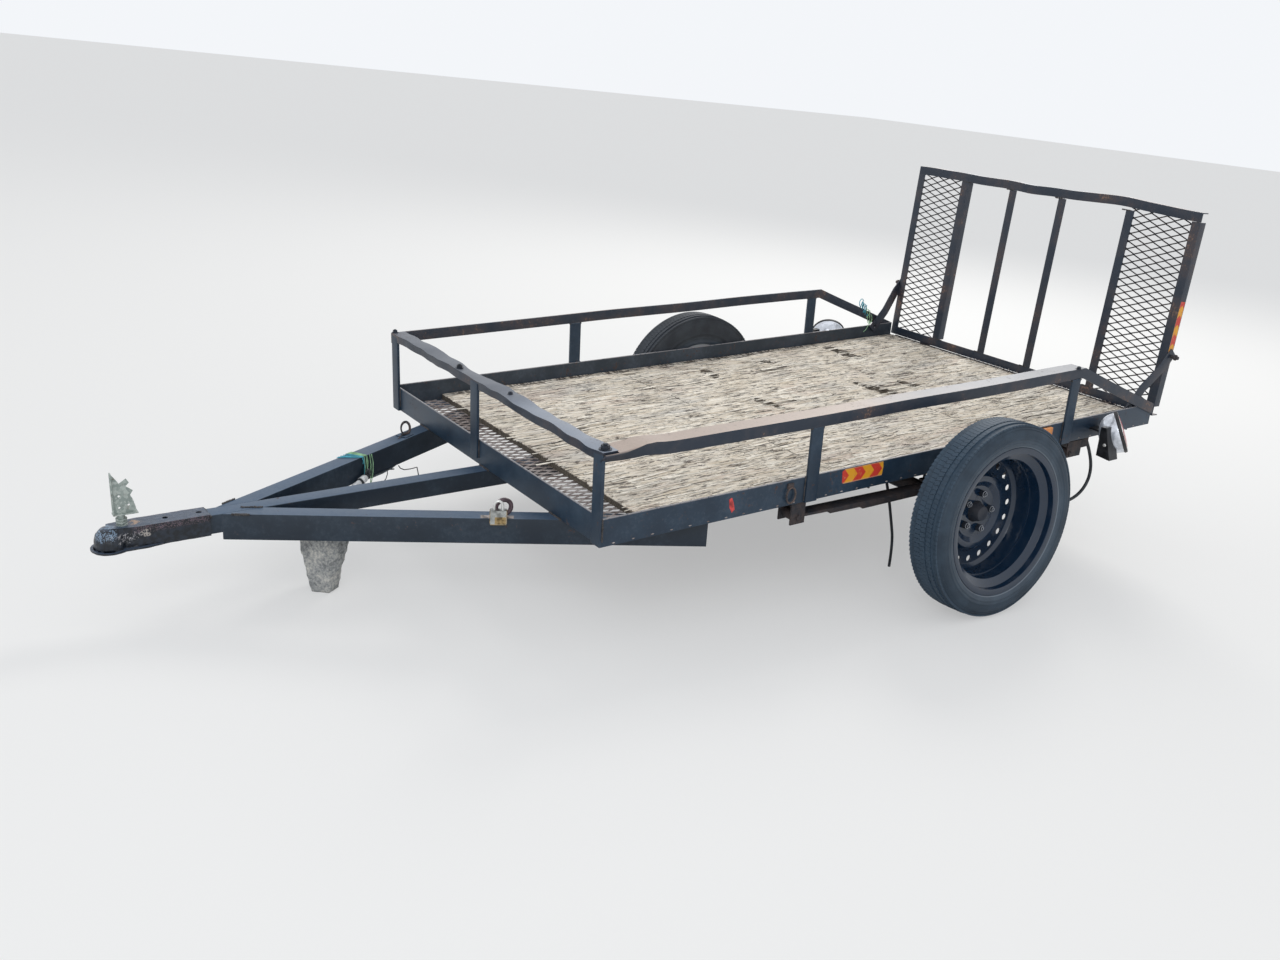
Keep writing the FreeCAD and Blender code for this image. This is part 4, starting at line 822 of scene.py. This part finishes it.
def sliverTree():
    # long thin splinters scattered on a face and laid roughly along its y
    t = Tree("splinters", Density=900.0, Long=0.09, Wide=0.006, Thick=0.0012, Turn=0.12, Lift=0.0002, Seed=1)
    face, density, seed = (t.given(name) for name in ("Geometry", "Density", "Seed"))
    points = t.geo("DistributePointsOnFaces", Mesh=face, Density=density, Seed=seed)
    lifted = t.geo("SetPosition", points, Offset=t.joinVector(0.0, 0.0, t.given("Lift")))
    cone = t.geo("MeshCone", 5, None, None, 0.12, 0.5, 1.0)
    laid = t.geo("Transform", cone, Translation=(0, -0.5, 0), Rotation=(math.pi / -2, 0, 0))
    turn = t.given("Turn")
    tip = t.varied((-0.02, -0.06, -1), (0.03, 0.06, 1), 5)
    tip = t.vector("MULTIPLY", tip, t.joinVector(1.0, 1.0, turn))
    size = t.varied((0.4, 0.25, 0.5), (1.5, 1.5, 1.2), 9)
    size = t.vector("MULTIPLY", size, t.joinVector(t.given("Wide"), t.given("Long"), t.given("Thick")))
    return t.close(t.geo("InstanceOnPoints", lifted, Instance=laid, Rotation=tip, Scale=size))


def weldTree():
    # a bead along each run of edges
    t = Tree("weldBead", Step=0.0035, Size=0.0035)
    curve = t.geo("MeshToCurve", t.given("Geometry"))
    spots = t.add("GeometryNodeResampleCurve", {"mode": "LENGTH"}, curve, Length=t.given("Step"))
    ball = t.geo("MeshIcoSphere", t.given("Size"), 2)
    size = t.varied((0.75, 0.75, 0.6), (1.25, 1.25, 0.95), 3)
    turn = t.varied((0, 0, 0), (3.1, 3.1, 3.1), 4)
    return t.close(t.geo("InstanceOnPoints", spots, Instance=ball, Rotation=turn, Scale=size))


def boltTree():
    # a hexagon head on a washer at each corner of the mesh, square to its normal
    t = Tree("boltHeads", Across=0.018, Tall=0.008)
    size, tall = t.given("Across"), t.given("Tall")
    both = t.geo("JoinGeometry")
    # sides, radius, height and middle of the head, the washer and the stud
    for sides, radius, high, lift in ((6, size * 0.55, tall, tall * 0.5 + 0.0018), (24, size * 0.8, 0.002, 0.0009),
                                      (16, size * 0.28, tall * 0.6, tall * 1.25)):
        part = t.geo("MeshCylinder", sides, None, None, radius, high)
        part = t.geo("Transform", part, Translation=t.joinVector(0.0, 0.0, lift))
        t.plug(both.socket.node.inputs[0], part)
    way = t.add("GeometryNodeInputNamedAttribute", {"data_type": "FLOAT_VECTOR"}, "aim")
    turn = t.add("FunctionNodeAlignRotationToVector", {"axis": "Z"}, None, 1.0, way)
    return t.close(t.geo("InstanceOnPoints", t.given("Geometry"), Instance=both, Rotation=turn))


def pointMesh(points, aims=None, home=None, lines=()):
    home = levelToWorld if home is None else home
    mesh = bpy.data.meshes.new("points")
    mesh.from_pydata([home @ (Vector(point) * 0.001) for point in points], lines, [])
    if aims:
        held = mesh.attributes.new("aim", "FLOAT_VECTOR", "POINT")
        for value, aim in zip(held.data, aims):
            value.vector = home.to_3x3() @ Vector(aim)
    return mesh


trees = {"mesh": meshTree(), "tread": treadTree(), "sliver": sliverTree(), "weld": weldTree(), "bolt": boltTree()}
print("trees made")

slots = {entry["node"]: entry["material_slot"] for entry in frame["record"]["subparts"]}


def smooth(value, low, high):
    share = max(0.0, min(1.0, (value - low) / (high - low)))
    return share * share * (3 - 2 * share)


def nearBarBend(p):
    # its front end is twisted outward, with a hump where the twist ends
    lean = math.radians(48) * (1 - smooth(p.y, 5, 170))
    lean *= smooth(p.x, 600, 634)
    x, z = p.x - 638, p.z - 159
    line = Vector((638, p.y, 159))
    rise = 7 * math.exp(-((p.y - 125) / 45) ** 2) + wander(line, 330, 3)
    sag = wander(line, 420, 4, 5)
    return x * math.cos(lean) + z * math.sin(lean) - x + sag, 0, z * math.cos(lean) - x * math.sin(lean) - z + rise


def frontBarBend(p):
    # knocked about: it dips between its posts and twists by turns
    line = Vector((p.x, 14, 172))
    lean = math.radians(7) * math.sin(p.x / 83) + wander(line, 70, 0.20, 4)
    fade = smooth(p.x, -632, -560) * smooth(-p.x, -632, -560)
    lean *= fade
    y, z = p.y - 14, p.z - 172
    rise = (wander(line, 120, 6, 2) + wander(line, 46, 2, 8)) * fade
    back = wander(line, 90, 5, 6) * fade
    cos, sin = math.cos(lean), math.sin(lean)
    return 0, y * cos - z * sin - y + back, z * cos + y * sin - z + rise


def gateTopBend(p):
    # the bar bows upward on its left half; the gate's own x is the level one
    line = Vector((p.x, 0, 0))
    return 0, wander(line, 160, 4), 11 * math.exp(-((p.x - 330) / 170) ** 2) + wander(line, 120, 3, 3)


def slightBend(p):
    return wander(p, 380, 2.6), 0, wander(p, 330, 2.6, 7)


# softened copies of the nodes, some of them bent
steel = (
    # nodes, paint, bevel in mm, bend
    (("rail_left", "rail_front", "rail_rear"), "rail", 0.9, None),
    (("rail_right",), "railFar", 0.9, None),
    (("cross_members",), "under", 0.8, None),
    (("tongue_left", "tongue_right", "tongue_middle"), "tongue", 2.4, None),
    (("post_",), "post", 0.8, None),
    (("top_bar_front",), "barFront", 1.0, frontBarBend),
    (("top_bar_right",), "bar", 1.0, slightBend),
    (("top_bar_left",), "barNear", 1.0, nearBarBend),
    (("gate_uprights", "gate_bar_bottom", "brace_left", "brace_right"), "gate", 0.8, None),
    (("gate_bar_top",), "gate", 0.8, gateTopBend),
    (("gate_hinge_pins", "brace_studs"), "pin", 0.5, None),
    (("axle", "spring", "hanger", "shackle"), "under", 0.7, None),
    (("rim_left",), "rimLeft", 0.7, None),
    (("rim_right",), "rimRight", 0.7, None),
    (("hub_left",), "hubLeft", 0.6, None),
    (("hub_right",), "hubRight", 0.6, None),
    (("coupler_latch",), "zinc", 0.6, None),
    (("cable_glands",), "wire", 0.5, None),
)


# the low rail's front and near bars are angles in the photo: their other legs, level, in mm
extraLegs = {
    "top_bar_left": (((585, 34, 172), (636, 1846, 176)),),
    "top_bar_front": (((-634, -7.2, 152), (634, -3.4, 170)),),
}


def makeSteel():
    for starts, paint, bevel, bend in steel:
        for name in nodes:
            if not name.startswith(starts):
                continue
            piece = copied(name)
            for low, high in extraLegs.get(name, ()):
                piece.block(low, high)
            piece.soften(bevel)
            if bend:
                across = name in ("top_bar_front", "gate_bar_top")
                piece.cutAlong(0 if across else 1, range(-630, 635, 18) if across else range(-5, 2275, 30))
                piece.push(bend)
            first, *rest = name.split("_")
            shown = first + "".join(word.title() for word in rest) + "Steel"
            piece.done(shown, paint, bodyOf(name), replaced=(name,), slot=slots[name])


makeSteel()
print("steel made")


# middles and sizes in metres; the gate's panels also between which x of the gate
meshSizes = {"deckMiddle": (0, 1.1399, -0.0695), "deck": (2.270, 1.258), "gateBack": -0.0105, "gateUp": 0.389,
             "gateTall": 0.686, "gateSpans": {"left": (0.3546, 0.6314), "right": (-0.6314, -0.3766)}}


def makeMeshes():
    home = levelToWorld @ Matrix.Translation(meshSizes["deckMiddle"]) @ turned(90, "Z")
    wide, long = meshSizes["deck"]
    grow(trees["mesh"], "deckMeshSheet", "deckMesh", home, replaced=("deck_mesh",), slot="mesh_steel",
         Wide=wide, Long=long, Thick=0.0022)
    for side, (low, high) in meshSizes["gateSpans"].items():
        middle = ((low + high) / 2, meshSizes["gateBack"], meshSizes["gateUp"])
        home = gateToWorld @ Matrix.Translation(middle) @ turned(90)
        grow(trees["mesh"], f"gateMesh{side.title()}Sheet", "gateMesh", home, body="gate",
             replaced=(f"gate_mesh_{side}",), slot="mesh_steel", Wide=high - low, Long=meshSizes["gateTall"])


makeMeshes()
print("meshes made")

# each tyre is a carcass turned from its section and a ring of tread blocks
tyres = {
    # in mm: outer radius, widest half, tread half, rim lip radius, rim half width
    "left": {"radius": 296, "fat": 62, "tread": 52, "lip": 226, "rimHalf": 56, "count": 132},
    "right": {"radius": 287.9, "fat": 50, "tread": 43, "lip": 179.1, "rimHalf": 46, "count": 128},
}


def makeTyre(side, t):
    home = wheelToWorld(side)
    r, fat, tread, lip, rimHalf = (t[key] for key in ("radius", "fat", "tread", "lip", "rimHalf"))
    wall = r - lip
    half = [
        (r - 3.4, 0), (r - 3.4, tread * 0.13), (r - 4, tread * 0.5), (r - 6.4, tread * 0.84), (r - 8, tread * 0.96),
        (r - 12, tread * 1.03), (r - 15, tread * 1.08), (r - 16, tread * 1.06), (r - 19, tread * 1.1),
        (lip + wall * 0.62, fat * 0.99), (lip + wall * 0.5, fat), (lip + wall * 0.42, fat * 0.995),
        (lip + wall * 0.40, fat * 1.01), (lip + wall * 0.37, fat * 1.01), (lip + wall * 0.35, fat * 0.99),
        (lip + wall * 0.25, fat * 0.97), (lip + wall * 0.235, fat * 0.985), (lip + wall * 0.215, fat * 0.965),
        (lip + wall * 0.14, rimHalf + 2.5), (lip + 4, rimHalf + 1.5), (lip + 1, rimHalf - 1),
        (lip + 0.3, rimHalf - 3.3), (lip - 13.7, rimHalf - 7.3),
    ]
    section = half + [(radius, -place) for radius, place in reversed(half[1:])]
    paint, body = "tyre" + side.title(), f"wheel_{side}"
    draw(paint + "Carcass", paint, home, ("lathe", section, 180), body=body, replaced=(f"tyre_{side}",), slot="tyre",
         smooth=60)
    span = tread * 1.62 / 1000
    grow(trees["tread"], paint + "Tread", paint, home, body=body, slot="tyre", Radius=(r - 3.6) / 1000, Span=span,
         Count=t["count"], Rows=5, BlockWide=span / 4 * 0.88, BlockLong=0.0128, Tall=0.0064, Drop=2.3)


# in mm: the studs' circle, where to look for them, and each ring's radius, place before the stud's end and size
nuts = {"circle": 57.15, "count": 5, "band": (46, 69), "rings": ((8.6, -4.6, 0.9), (5.2, 0.2, 0.7))}


def makeNutRings():
    # bright worn edges on the near wheel's nuts, found on the hub's own studs
    home = wheelToWorld("left")
    spots = [home.inverted() @ vert.co * 1000 for vert in nodes["hub_left"].data.vertices]
    spots = [spot for spot in spots if nuts["band"][0] < spot.to_2d().length < nuts["band"][1]]
    face = max(spot.z for spot in spots)
    turns = [math.atan2(spot.y, spot.x) * nuts["count"] for spot in spots if spot.z > face - 0.5]
    turn = math.atan2(sum(map(math.sin, turns)), sum(map(math.cos, turns))) / nuts["count"]
    rings = Shape(home @ Matrix.Rotation(turn, 4, "Z"))
    for x, y in around(nuts["circle"], nuts["count"]):
        for radius, place, size in nuts["rings"]:
            rings.tube([(x + a, y + b, face + place) for a, b in around(radius, 24)], size, 6, closed=True)
    rings.done("wheelLeftNutRings", "nut", "wheel_left", slot="hub_steel")


for side, sizes in tyres.items():
    makeTyre(side, sizes)
makeNutRings()
print("tyres made")

# deck panels with a torn top: node, first and last y in mm
panels = {"deckFront": ("deck_front", 165.0, 863.0), "deckMiddle": ("deck_middle", 866.0, 1602.5),
          "deckRear": ("deck_rear", 1605.5, 2271.0)}
deckSizes = {"half": 626.2, "top": -49.5, "thick": 18.0, "stepX": 4.2, "stepY": 13.0}


def deckRelief(x, y):
    spot = Vector((x / 34, y / 330, 1.7))
    layered = noise.noise(spot) * 3.2 + noise.noise(spot * 3.1) * 1.4
    whole = math.floor(layered * 1.6) / 1.6
    height = whole * 0.75 + noise.noise(Vector((x / 210, y / 260, 4.0))) * 2.0
    for x0, y0, wide, long in hollows:
        away = math.hypot((x / 1000 - x0) / wide, (y / 1000 - y0) / long)
        away += noise.noise(Vector((x / 12, y / 20, 9))) * 0.5
        height -= 13 * smooth(1.15 - away, 0, 0.3)
    return min(height, 1.6)


def makePanel(name, node, start, end):
    half, top, thick = deckSizes["half"], deckSizes["top"], deckSizes["thick"]
    across = round(2 * half / deckSizes["stepX"])
    along = round((end - start) / deckSizes["stepY"])
    shape = Shape()
    rows = []
    for j in range(along + 1):
        y = start + (end - start) * j / along
        row = []
        for i in range(across + 1):
            x = -half + 2 * half * i / across
            far = 5 if (j == 0 and start < 200) or (j == along and end > 2200) else 1.2
            ragged = noise.noise(Vector((x / 9, 3.0, start))) * far if j in (0, along) else 0
            row.append(shape.mesh.verts.new(shape.home @ Vector((x, y + ragged, top + deckRelief(x, y)))))
        rows.append(row)
    for one, two in zip(rows, rows[1:]):
        for i in range(across):
            shape.mesh.faces.new((one[i], one[i + 1], two[i + 1], two[i]))
    rim = rows[0] + [row[-1] for row in rows[1:]] + rows[-1][-2::-1] + [row[0] for row in rows[-2:0:-1]]
    down = levelToWorld.to_3x3() @ Vector((0, 0, -1))
    low = []
    for vert in rim:
        level = (levelToWorld.inverted() @ vert.co).z * 1000
        low.append(shape.mesh.verts.new(vert.co + down * (level - top + thick) * 0.001))
    for i in range(len(rim)):
        k = (i + 1) % len(rim)
        shape.mesh.faces.new((rim[i], rim[k], low[k], low[i]))
    shape.mesh.faces.new(low)
    shape.done(name + "Panel", "wood", replaced=(node,), slot="deck_wood", smooth=50)


for name, (node, first, last) in panels.items():
    makePanel(name, node, first, last)

splinters = (
    # per square metre, then length, width and thickness in metres
    (760.0, 0.060, 0.0044, 0.0026),
    (190.0, 0.13, 0.009, 0.0034),
)
for number, (density, long, wide, thick) in enumerate(splinters):
    grow(trees["sliver"], f"deckSplinters{number}", "sliver", levelToWorld, sheetMesh(-0.6, 0.6, 0.18, 2.25, -0.0492),
         slot="deck_wood", Density=density, Long=long, Wide=wide, Thick=thick, Seed=number + 3)


def makeRearStrip():
    # a dark block, standing in for the shade in the gap behind the deck, and torn strands along it
    draw("deckRearStrip", "under", None, ("block", (-600, 2272.4, -76), (600, 2275.2, -46)), slot="frame_paint")
    path = []
    for i in range(70):
        x = -190 + i * 10.5
        back = wander(Vector((x, 0, 0)), 30, 3)
        up = (5 if i % 2 else -4) + wander(Vector((x, 9, 0)), 24, 5)
        path.append((x, 2274 + back, up - 47))
    draw("deckRearTeeth", "deckMesh", None, ("tube", path, 1.3, 6), slot="mesh_steel")


makeRearStrip()
print("deck made")


def roughCopy(name, node, paint, cuts, sizes, bevel, slot):
    # a copy of a node with a rough skin
    piece = copied(node, angle=0.3 if node == "prop_stone" else 0.02)
    if bevel:
        piece.soften(bevel)
    bmesh.ops.triangulate(piece.mesh, faces=piece.mesh.faces)
    for length in cuts:
        long = [edge for edge in piece.mesh.edges if edge.calc_length() > length]
        bmesh.ops.subdivide_edges(piece.mesh, edges=long, cuts=1)
        bmesh.ops.triangulate(piece.mesh, faces=piece.mesh.faces)
    bmesh.ops.recalc_face_normals(piece.mesh, faces=piece.mesh.faces)
    piece.mesh.normal_update()
    moved = []
    for vert in piece.mesh.verts:
        spot = vert.co * 1000
        out = sum(noise.noise(spot / scale) * size for scale, size in sizes)
        moved.append(vert.co + vert.normal * out * 0.001)
    for vert, place in zip(piece.mesh.verts, moved):
        vert.co = (place.x, place.y, max(place.z, 0.0))
    piece.done(name, paint, replaced=(node,), slot=slot, smooth=60)


roughCopy("propRock", "prop_stone", "rock", (0.05, 0.03, 0.018, 0.011), ((60, 9), (22, 4.5), (9, 1.6)), 0, "stone")
roughCopy("couplerShell", "coupler", "tar", (0.03, 0.015, 0.008, 0.0055), ((26, 0.7), (9, 0.55)), 1.0, "frame_paint")


lampPlace = {"looks": (0.70, 0.59, 0.40), "middle": (0.719, 1.993, -0.038), "boxMiddle": 726.8}
# their parts: paint, sharp angle and section as (radius, place) in mm along the way that the lamp looks
lampParts = {
    "Shell": ("chrome", 50, ((0, -9), (65, -9), (68, -10), (68, -13), (65, -32), (60, -43), (52, -54), (42, -63),
                             (30, -69), (15, -74), (0, -75))),
    "Gasket": ("gasket", 35, ((60, 1.5), (68, 1.5), (70.5, -1), (70.5, -7.5), (68, -9.5), (60, -9.5))),
    "Lens": ("redLens", 50, ((0, 8), (30, 7), (50, 5), (60, 2.2), (63, -1), (63, -8.5), (0, -8.5))),
    "Ring": ("screw", 35, ((62.5, 2.6), (66, 2.6), (66, -2), (62.5, -2))),
}


def makeLamps():
    for side, way in (("Left", 1), ("Right", -1)):
        # its bracket is bent: the lens looks outward and up
        x, y, z = lampPlace["looks"]
        looks = Vector((x * way, y, z)).to_track_quat("Z", "Y").to_matrix().to_4x4()
        x, y, z = lampPlace["middle"]
        home = levelToWorld @ Matrix.Translation((x * way, y, z)) @ looks
        for part, (paint, sharp, section) in lampParts.items():
            replaced = (f"tail_lamp_{side.lower()}",) if part == "Shell" else ()
            draw(f"lamp{part}{side}", paint, home, ("lathe", section, 72), replaced=replaced, slot="lamp", smooth=sharp)
        middle = lampPlace["boxMiddle"]
        corners = ((middle - 26, -14), (middle - 6, -12), (middle + 26, -116), (middle - 26, -112))
        draw(f"lampBox{side}", "box", None, ("plate", [(x * way, z) for x, z in corners], 1900, 1944, 1),
             ("block", (635 * way, 1935, -45), (706 * way, 1975, -39)), ("soften", 2.5), slot="lamp")
        screwX = (middle - 2) * way
        draw(f"lampScrews{side}", "screw", None, ("tube", ((screwX, 1900, -70), (screwX, 1896.5, -70)), (6, 4), 16),
             slot="lamp")
        node = f"marker_lamp_{side.lower()}"
        marker = copied(node)
        marker.soften(3.0, segments=3)
        marker.done(f"markerLens{side}", "amber", replaced=(node,), slot="marker")
        draw(f"markerBase{side}", "gasket", None, ("block", (635 * way, 1660, -34), (638 * way, 1724, -1)),
             ("soften", 1), slot="marker")


makeLamps()


def makeTapes():
    # outlines across x, in mm
    strip = [(809, -44), (806, -10), (815, -3), (966, -3), (969, -20), (966, -46), (815, -47)]
    draw("railTapeStrip", "railTape", None, ("plate", strip, 635.05, 635.5, 0))
    scrap = [(398, -20), (408, -16), (414, -30), (420, -52), (411, -60), (402, -44)]
    draw("redTapeScrap", "redScrap", None, ("plate", scrap, 635.05, 635.4, 0))
    upright = [(-13, 236), (12, 234), (13.5, 340), (12, 440), (-12, 442), (-13.5, 330)]
    draw("gateTapeStrip", "gateTape", gateToWorld, ("plate", upright, 636.05, 636.5, 0), body="gate")


makeTapes()
print("lamps and tapes made")


def tubeHome(way):
    # x runs along a slanted tongue tube and y towards the right, from the outer face's
    # top edge, level with the front rail
    along = Vector((396 * way, 733, 0)).normalized()
    turn = Matrix((along, Vector((-along.y, along.x, 0)), Vector((0, 0, 1)))).transposed().to_4x4()
    drop = Matrix.Translation((0, 0, -0.0762))
    lift = drop @ Matrix.Rotation(math.radians(-0.65), 4, "X") @ drop.inverted()
    return levelToWorld @ lift @ Matrix.Translation((0.435 * way, 0, -0.0762)) @ turn


def circle(middle, radius, turn, tall, count):
    # a ring that stands upright, turned about z
    x, y, z = middle
    return [(x + out * math.cos(turn), y + out * math.sin(turn), z + up * tall) for out, up in around(radius, count)]


def makePadlock():
    home = tubeHome(1)
    draw("padlockBody", "lock", home, ("block", (-184, -20, -8), (-142, -2, 30)), ("soften", 4, 0.5, 3))
    ends = (((-185.5, -19, -6), (-180, -3, 28)), ((-146, -19, -6), (-140.5, -3, 28)),
            ((-184, -19.5, -10), (-142, -2.5, -6.5)), ((-172, -21.2, -7), (-143, -19.6, 12)))
    draw("padlockEnds", "brass", home, *(("block", low, high) for low, high in ends), ("soften", 1.5))
    arch = ((-174, -11, 26), (-174, -11, 42), (-172, -11, 48), (-167, -11, 53), (-161, -11, 54), (-155, -11, 50),
            (-152, -11, 44), (-152, -11, 26))
    draw("padlockBow", "screw", home, ("tube", arch, 3.6, 12))
    draw("padlockLink", "link", home, ("tube", circle((-150, 14, 27), 21, 0.35, 0.98, 36), 6.0, 12, True))
    scars = ((-196, 13), (-134, 11), (-168, 16))
    draw("padlockScars", "scar", home, *(("block", (x - half, 2, -0.3), (x + half, 22, 0.5)) for x, half in scars))


# each string: where it leaves the tube's far edge, where it meets the near edge, how far it hangs
tubeStrings = {
    "Blue": ((-394, -352, 0), (-388, -350, 0), (-378, -349, -20), (-366, -346, 0), (-356, -344, -60)),
    "Green": ((-352, -341, -74), (-346, -336, 0), (-341, -333, -74), (-334, -329, -40)),
}


def stringPath(far, near, hang):
    path = [(far - 1, 3, -9), (far, 2.6, 1), ((far * 2 + near) / 3, -16, 2.2), ((far + near * 2) / 3, -36, 1.6),
            (near, -52.5, 1.4)]
    if hang:
        path += [(near + 1, -53.6, -6), (near + 3, -54.5, hang * 0.5), (near + 1, -54, hang)]
    return path


def makeFarTube():
    home = tubeHome(-1)
    draw("ringOnTube", "pin", home, ("tube", circle((-112, -26, 23), 14, -0.85, 1.5, 30), 2.6, 10, True),
         ("tube", circle((-111, -24, 21), 12, -0.65, 1.5, 30), 1.5, 8, True))
    twist = ((-158, -34, 3), (-146, -30, 3), (-134, -28, 6), (-124, -27, 3), (-112, -26, 5), (-100, -25, 3),
             (-86, -18, 6), (-72, -12, 3))
    coil = [(-128 + i * 0.55, -26 + 4.5 * math.cos(i * 0.9), 4.5 + 4 * math.sin(i * 0.9)) for i in range(60)]
    draw("ringWire", "pin", home, ("tube", twist, 1.5), ("tube", coil, 1.2, 6))
    draw("ringPad", "tongue", home, ("block", (-137, -44, 0.2), (-96, -8, 2.2)), ("soften", 0.8))
    for name, runs in tubeStrings.items():
        windings = [("tube", stringPath(*run), 1.15, 6) for run in runs]
        draw(f"string{name}Winding", f"{name.lower()}String", home, *windings)
    tails = (((-318, -54.5, 1), (-316, -57, -30), (-319, -58, -62), (-321, -58, -88), (-326, -60, -104)),
             ((-310, -54.5, 0), (-307, -58, -26), (-311, -60, -55), (-316, -59, -80), (-330, -60, -100)))
    draw("stringTails", "greenString", home, *(("tube", tail, 1.3, 6) for tail in tails))

    draw("plugShell", "plug", home, ("tube", ((-404, -66, -72), (-378, -66, -66)), 9, 16),
         ("tube", ((-372, -66, -64), (-352, -66, -58)), (12, 10), 16))
    lead = ((-336, -64, -54), (-322, -60, -60), (-300, -48, -78), (-262, -36, -79), (-228, -40, -76), (-205, -54, -78))
    draw("plugLead", "wire", home, ("tube", ((-379, -66, -66), (-371, -66, -64)), 10.5, 16),
         ("tube", ((-352, -66, -58), (-336, -64, -54)), 8, 16),
         ("tube", circle((-338, -63, -52), 17, 0.3, 0.8, 24), 2.6, 8, True),
         ("tube", circle((-334, -62, -54), 13, 0.9, 1.0, 24), 2.2, 8, True), ("tube", lead, 2.2, 8))

    sheet = ((-312, -4), (-262, -2), (-190, -5), (-170, -20), (-182, -44), (-214, -52), (-262, -58), (-316, -57))
    draw("loosePlate", "plate", home, ("plate", sheet, -74.6, -72.4, 2), ("soften", 0.6))
    stray = ((-182, -52, -74), (-176, -55, -84), (-160, -57, -93), (-130, -58, -99), (-98, -58, -103), (-94, -58, -118),
             (-90, -58, -134))
    short = ((-236, -53, -74), (-240, -56, -84), (-252, -60, -94), (-268, -64, -98))
    draw("strayWires", "wire", home, ("tube", stray, 1.6, 6), ("tube", short, 1.4, 6))


def makeRailHook():
    # a loop that hangs from a lug on the near rail, by the middle post
    loop = [(642.5, 612 + 16 * back, -44 + 23 * up) for back, up in around(1, 30)]
    draw("railHook", "pin", None, ("block", (635, 601, -24), (640, 622, -10)), ("tube", loop, 2.8, 10, True), smooth=40)


def makeBarCoil():
    # a twist of string round the right bar where it slopes to the rail
    path = []
    for i in range(150):
        a = i * 0.42
        share = i / 149
        out = 9 + 7 * noise.noise(Vector((i * 0.35, 2, 1)))
        up = (18 + out * 0.4) * math.sin(a)
        path.append((-638 + out * math.cos(a) * 0.8, 2085 + share * 70 + 5 * math.sin(a * 1.7), 96 - share * 76 + up))
    end = ((-630, 2140, 18), (-626, 2128, -4), (-628, 2120, -18), (-624, 2104, -24))
    draw("barStringBlue", "blueString", None, ("tube", path[:75], 1.6, 6))
    draw("barStringGreen", "greenString", None, ("tube", path[70:], 1.4, 6), ("tube", end, 1.3, 6))


makePadlock()
makeRailHook()
makeFarTube()
makeBarCoil()


bolts = (
    # place, the way it points, size across, height
    ((-630, 2, 176), 1, 0.013, 0.007), ((-176, 8, 176), 1, 0.015, 0.008), ((614, 12, 176), 1, 0.021, 0.010),
    ((638, 1812, 177), 1, 0.013, 0.006), ((-302, 22, -76.2), -1, 0.017, 0.014), ((120, 17, 176), 1, 0.011, 0.006),
)


def makeBolts():
    for number, (place, up, across, tall) in enumerate(bolts):
        base = pointMesh([place], [(0, 0, up)])
        grow(trees["bolt"], f"bolt{number}", "boltDark", None, base, Across=across, Tall=tall)


def weldRun(name, runs, body="chassis", home=None, size=0.0032):
    points, lines = [], []
    for start, end in runs:
        lines.append((len(points), len(points) + 1))
        points += [start, end]
    grow(trees["weld"], name, "weld", None, pointMesh(points, None, home, lines), body, Size=size, Step=size * 1.1)


def makeWelds():
    posts, tongue = [], []
    for way in (1, -1):
        for y in (667, 709, 1785, 1827):
            posts += [((635.5 * way, y, -70), (635.5 * way, y, -1)), ((636.5 * way, y, 141), (641 * way, y, 141))]
        posts += [((x * way, -0.5, -60), (x * way, -0.5, -2)) for x in (593, 635)]
        posts += [((594 * way, -4, 168), (634 * way, -4, 168))]
        tongue += [((378 * way, -1, -76), (434 * way, -1, -76)), ((40 * way, -735, -68), (60 * way, -700, -68)),
                   ((8 * way, -786, -69), (30 * way, -786, -69))]
    posts += [((x, -0.5, -54), (x, -0.5, -2)) for x in (-75, -33)]
    tongue += [((-25, -1, -76), (25, -1, -76)), ((26, -655, -68.5), (5, -700, -68))]
    gate = [((x - 15, -15, z), (x + 15, -15, z)) for x in (350, 63, -164, -372) for z in (70, 708)]
    weldRun("postWelds", posts)
    weldRun("tongueWelds", tongue, size=0.0038)
    weldRun("gateWelds", gate, "gate", gateToWorld, 0.0026)


makeBolts()
makeWelds()
print("small pieces made")

stageSizes = {"floorHalf": 60, "floorTone": (0.80, 0.80, 0.79), "glow": (0.90, 0.905, 0.91, 1), "glowShare": 0.45,
              "sky": (0.90, 0.92, 0.95, 1), "worldLight": 0.75}
lights = {
    # place, size in metres, watts, colour
    "key": ((-3.5, 5.5, 5.5), 3.0, 260, (1.0, 0.97, 0.92)),
    "fill": ((5.0, -5.0, 4.5), 4.0, 150, (0.95, 0.97, 1.0)),
}


def makeStage(sizes):
    half = sizes["floorHalf"]
    floor = addObject("floor", sheetMesh(-half, half, -half, half, 0))
    s = Finish("floorFinish")
    s.colour = sizes["floorTone"]
    s.finish(0.95)
    seen = s.add("ShaderNodeLightPath", {}, out="Is Camera Ray")
    glow = s.add("ShaderNodeEmission", {}, sizes["glow"])
    surface = Field(s, s.surface.outputs[0])
    blend = s.add("ShaderNodeMixShader", {}, seen * sizes["glowShare"], surface, glow)
    s.plug(s.tree.nodes["Material Output"].inputs[0], blend)
    floor.data.materials.append(s.material)

    world = bpy.data.worlds.new("studio")
    bpy.context.scene.world = world
    world.use_nodes = True
    w = Graph(world.node_tree)
    camera, glossy = (w.add("ShaderNodeLightPath", {}, out=f"Is {kind} Ray") for kind in ("Camera", "Glossy"))
    background = world.node_tree.nodes["Background"]
    w.plug(background.inputs[0], sizes["sky"])
    w.plug(background.inputs[1], (camera + glossy).capped() * (1 - sizes["worldLight"]) + sizes["worldLight"])

    for name, (place, size, power, tint) in lights.items():
        lamp = bpy.data.lights.new(name, "AREA")
        lamp.shape, lamp.size, lamp.energy, lamp.color = "DISK", size, power, tint
        made = addObject(name, lamp)
        made.location = place
        made.rotation_euler = (Vector((0, 0, 0.4)) - Vector(place)).to_track_quat("-Z", "Y").to_euler()


makeStage(stageSizes)
bpy.context.scene.view_settings.view_transform = "Standard"
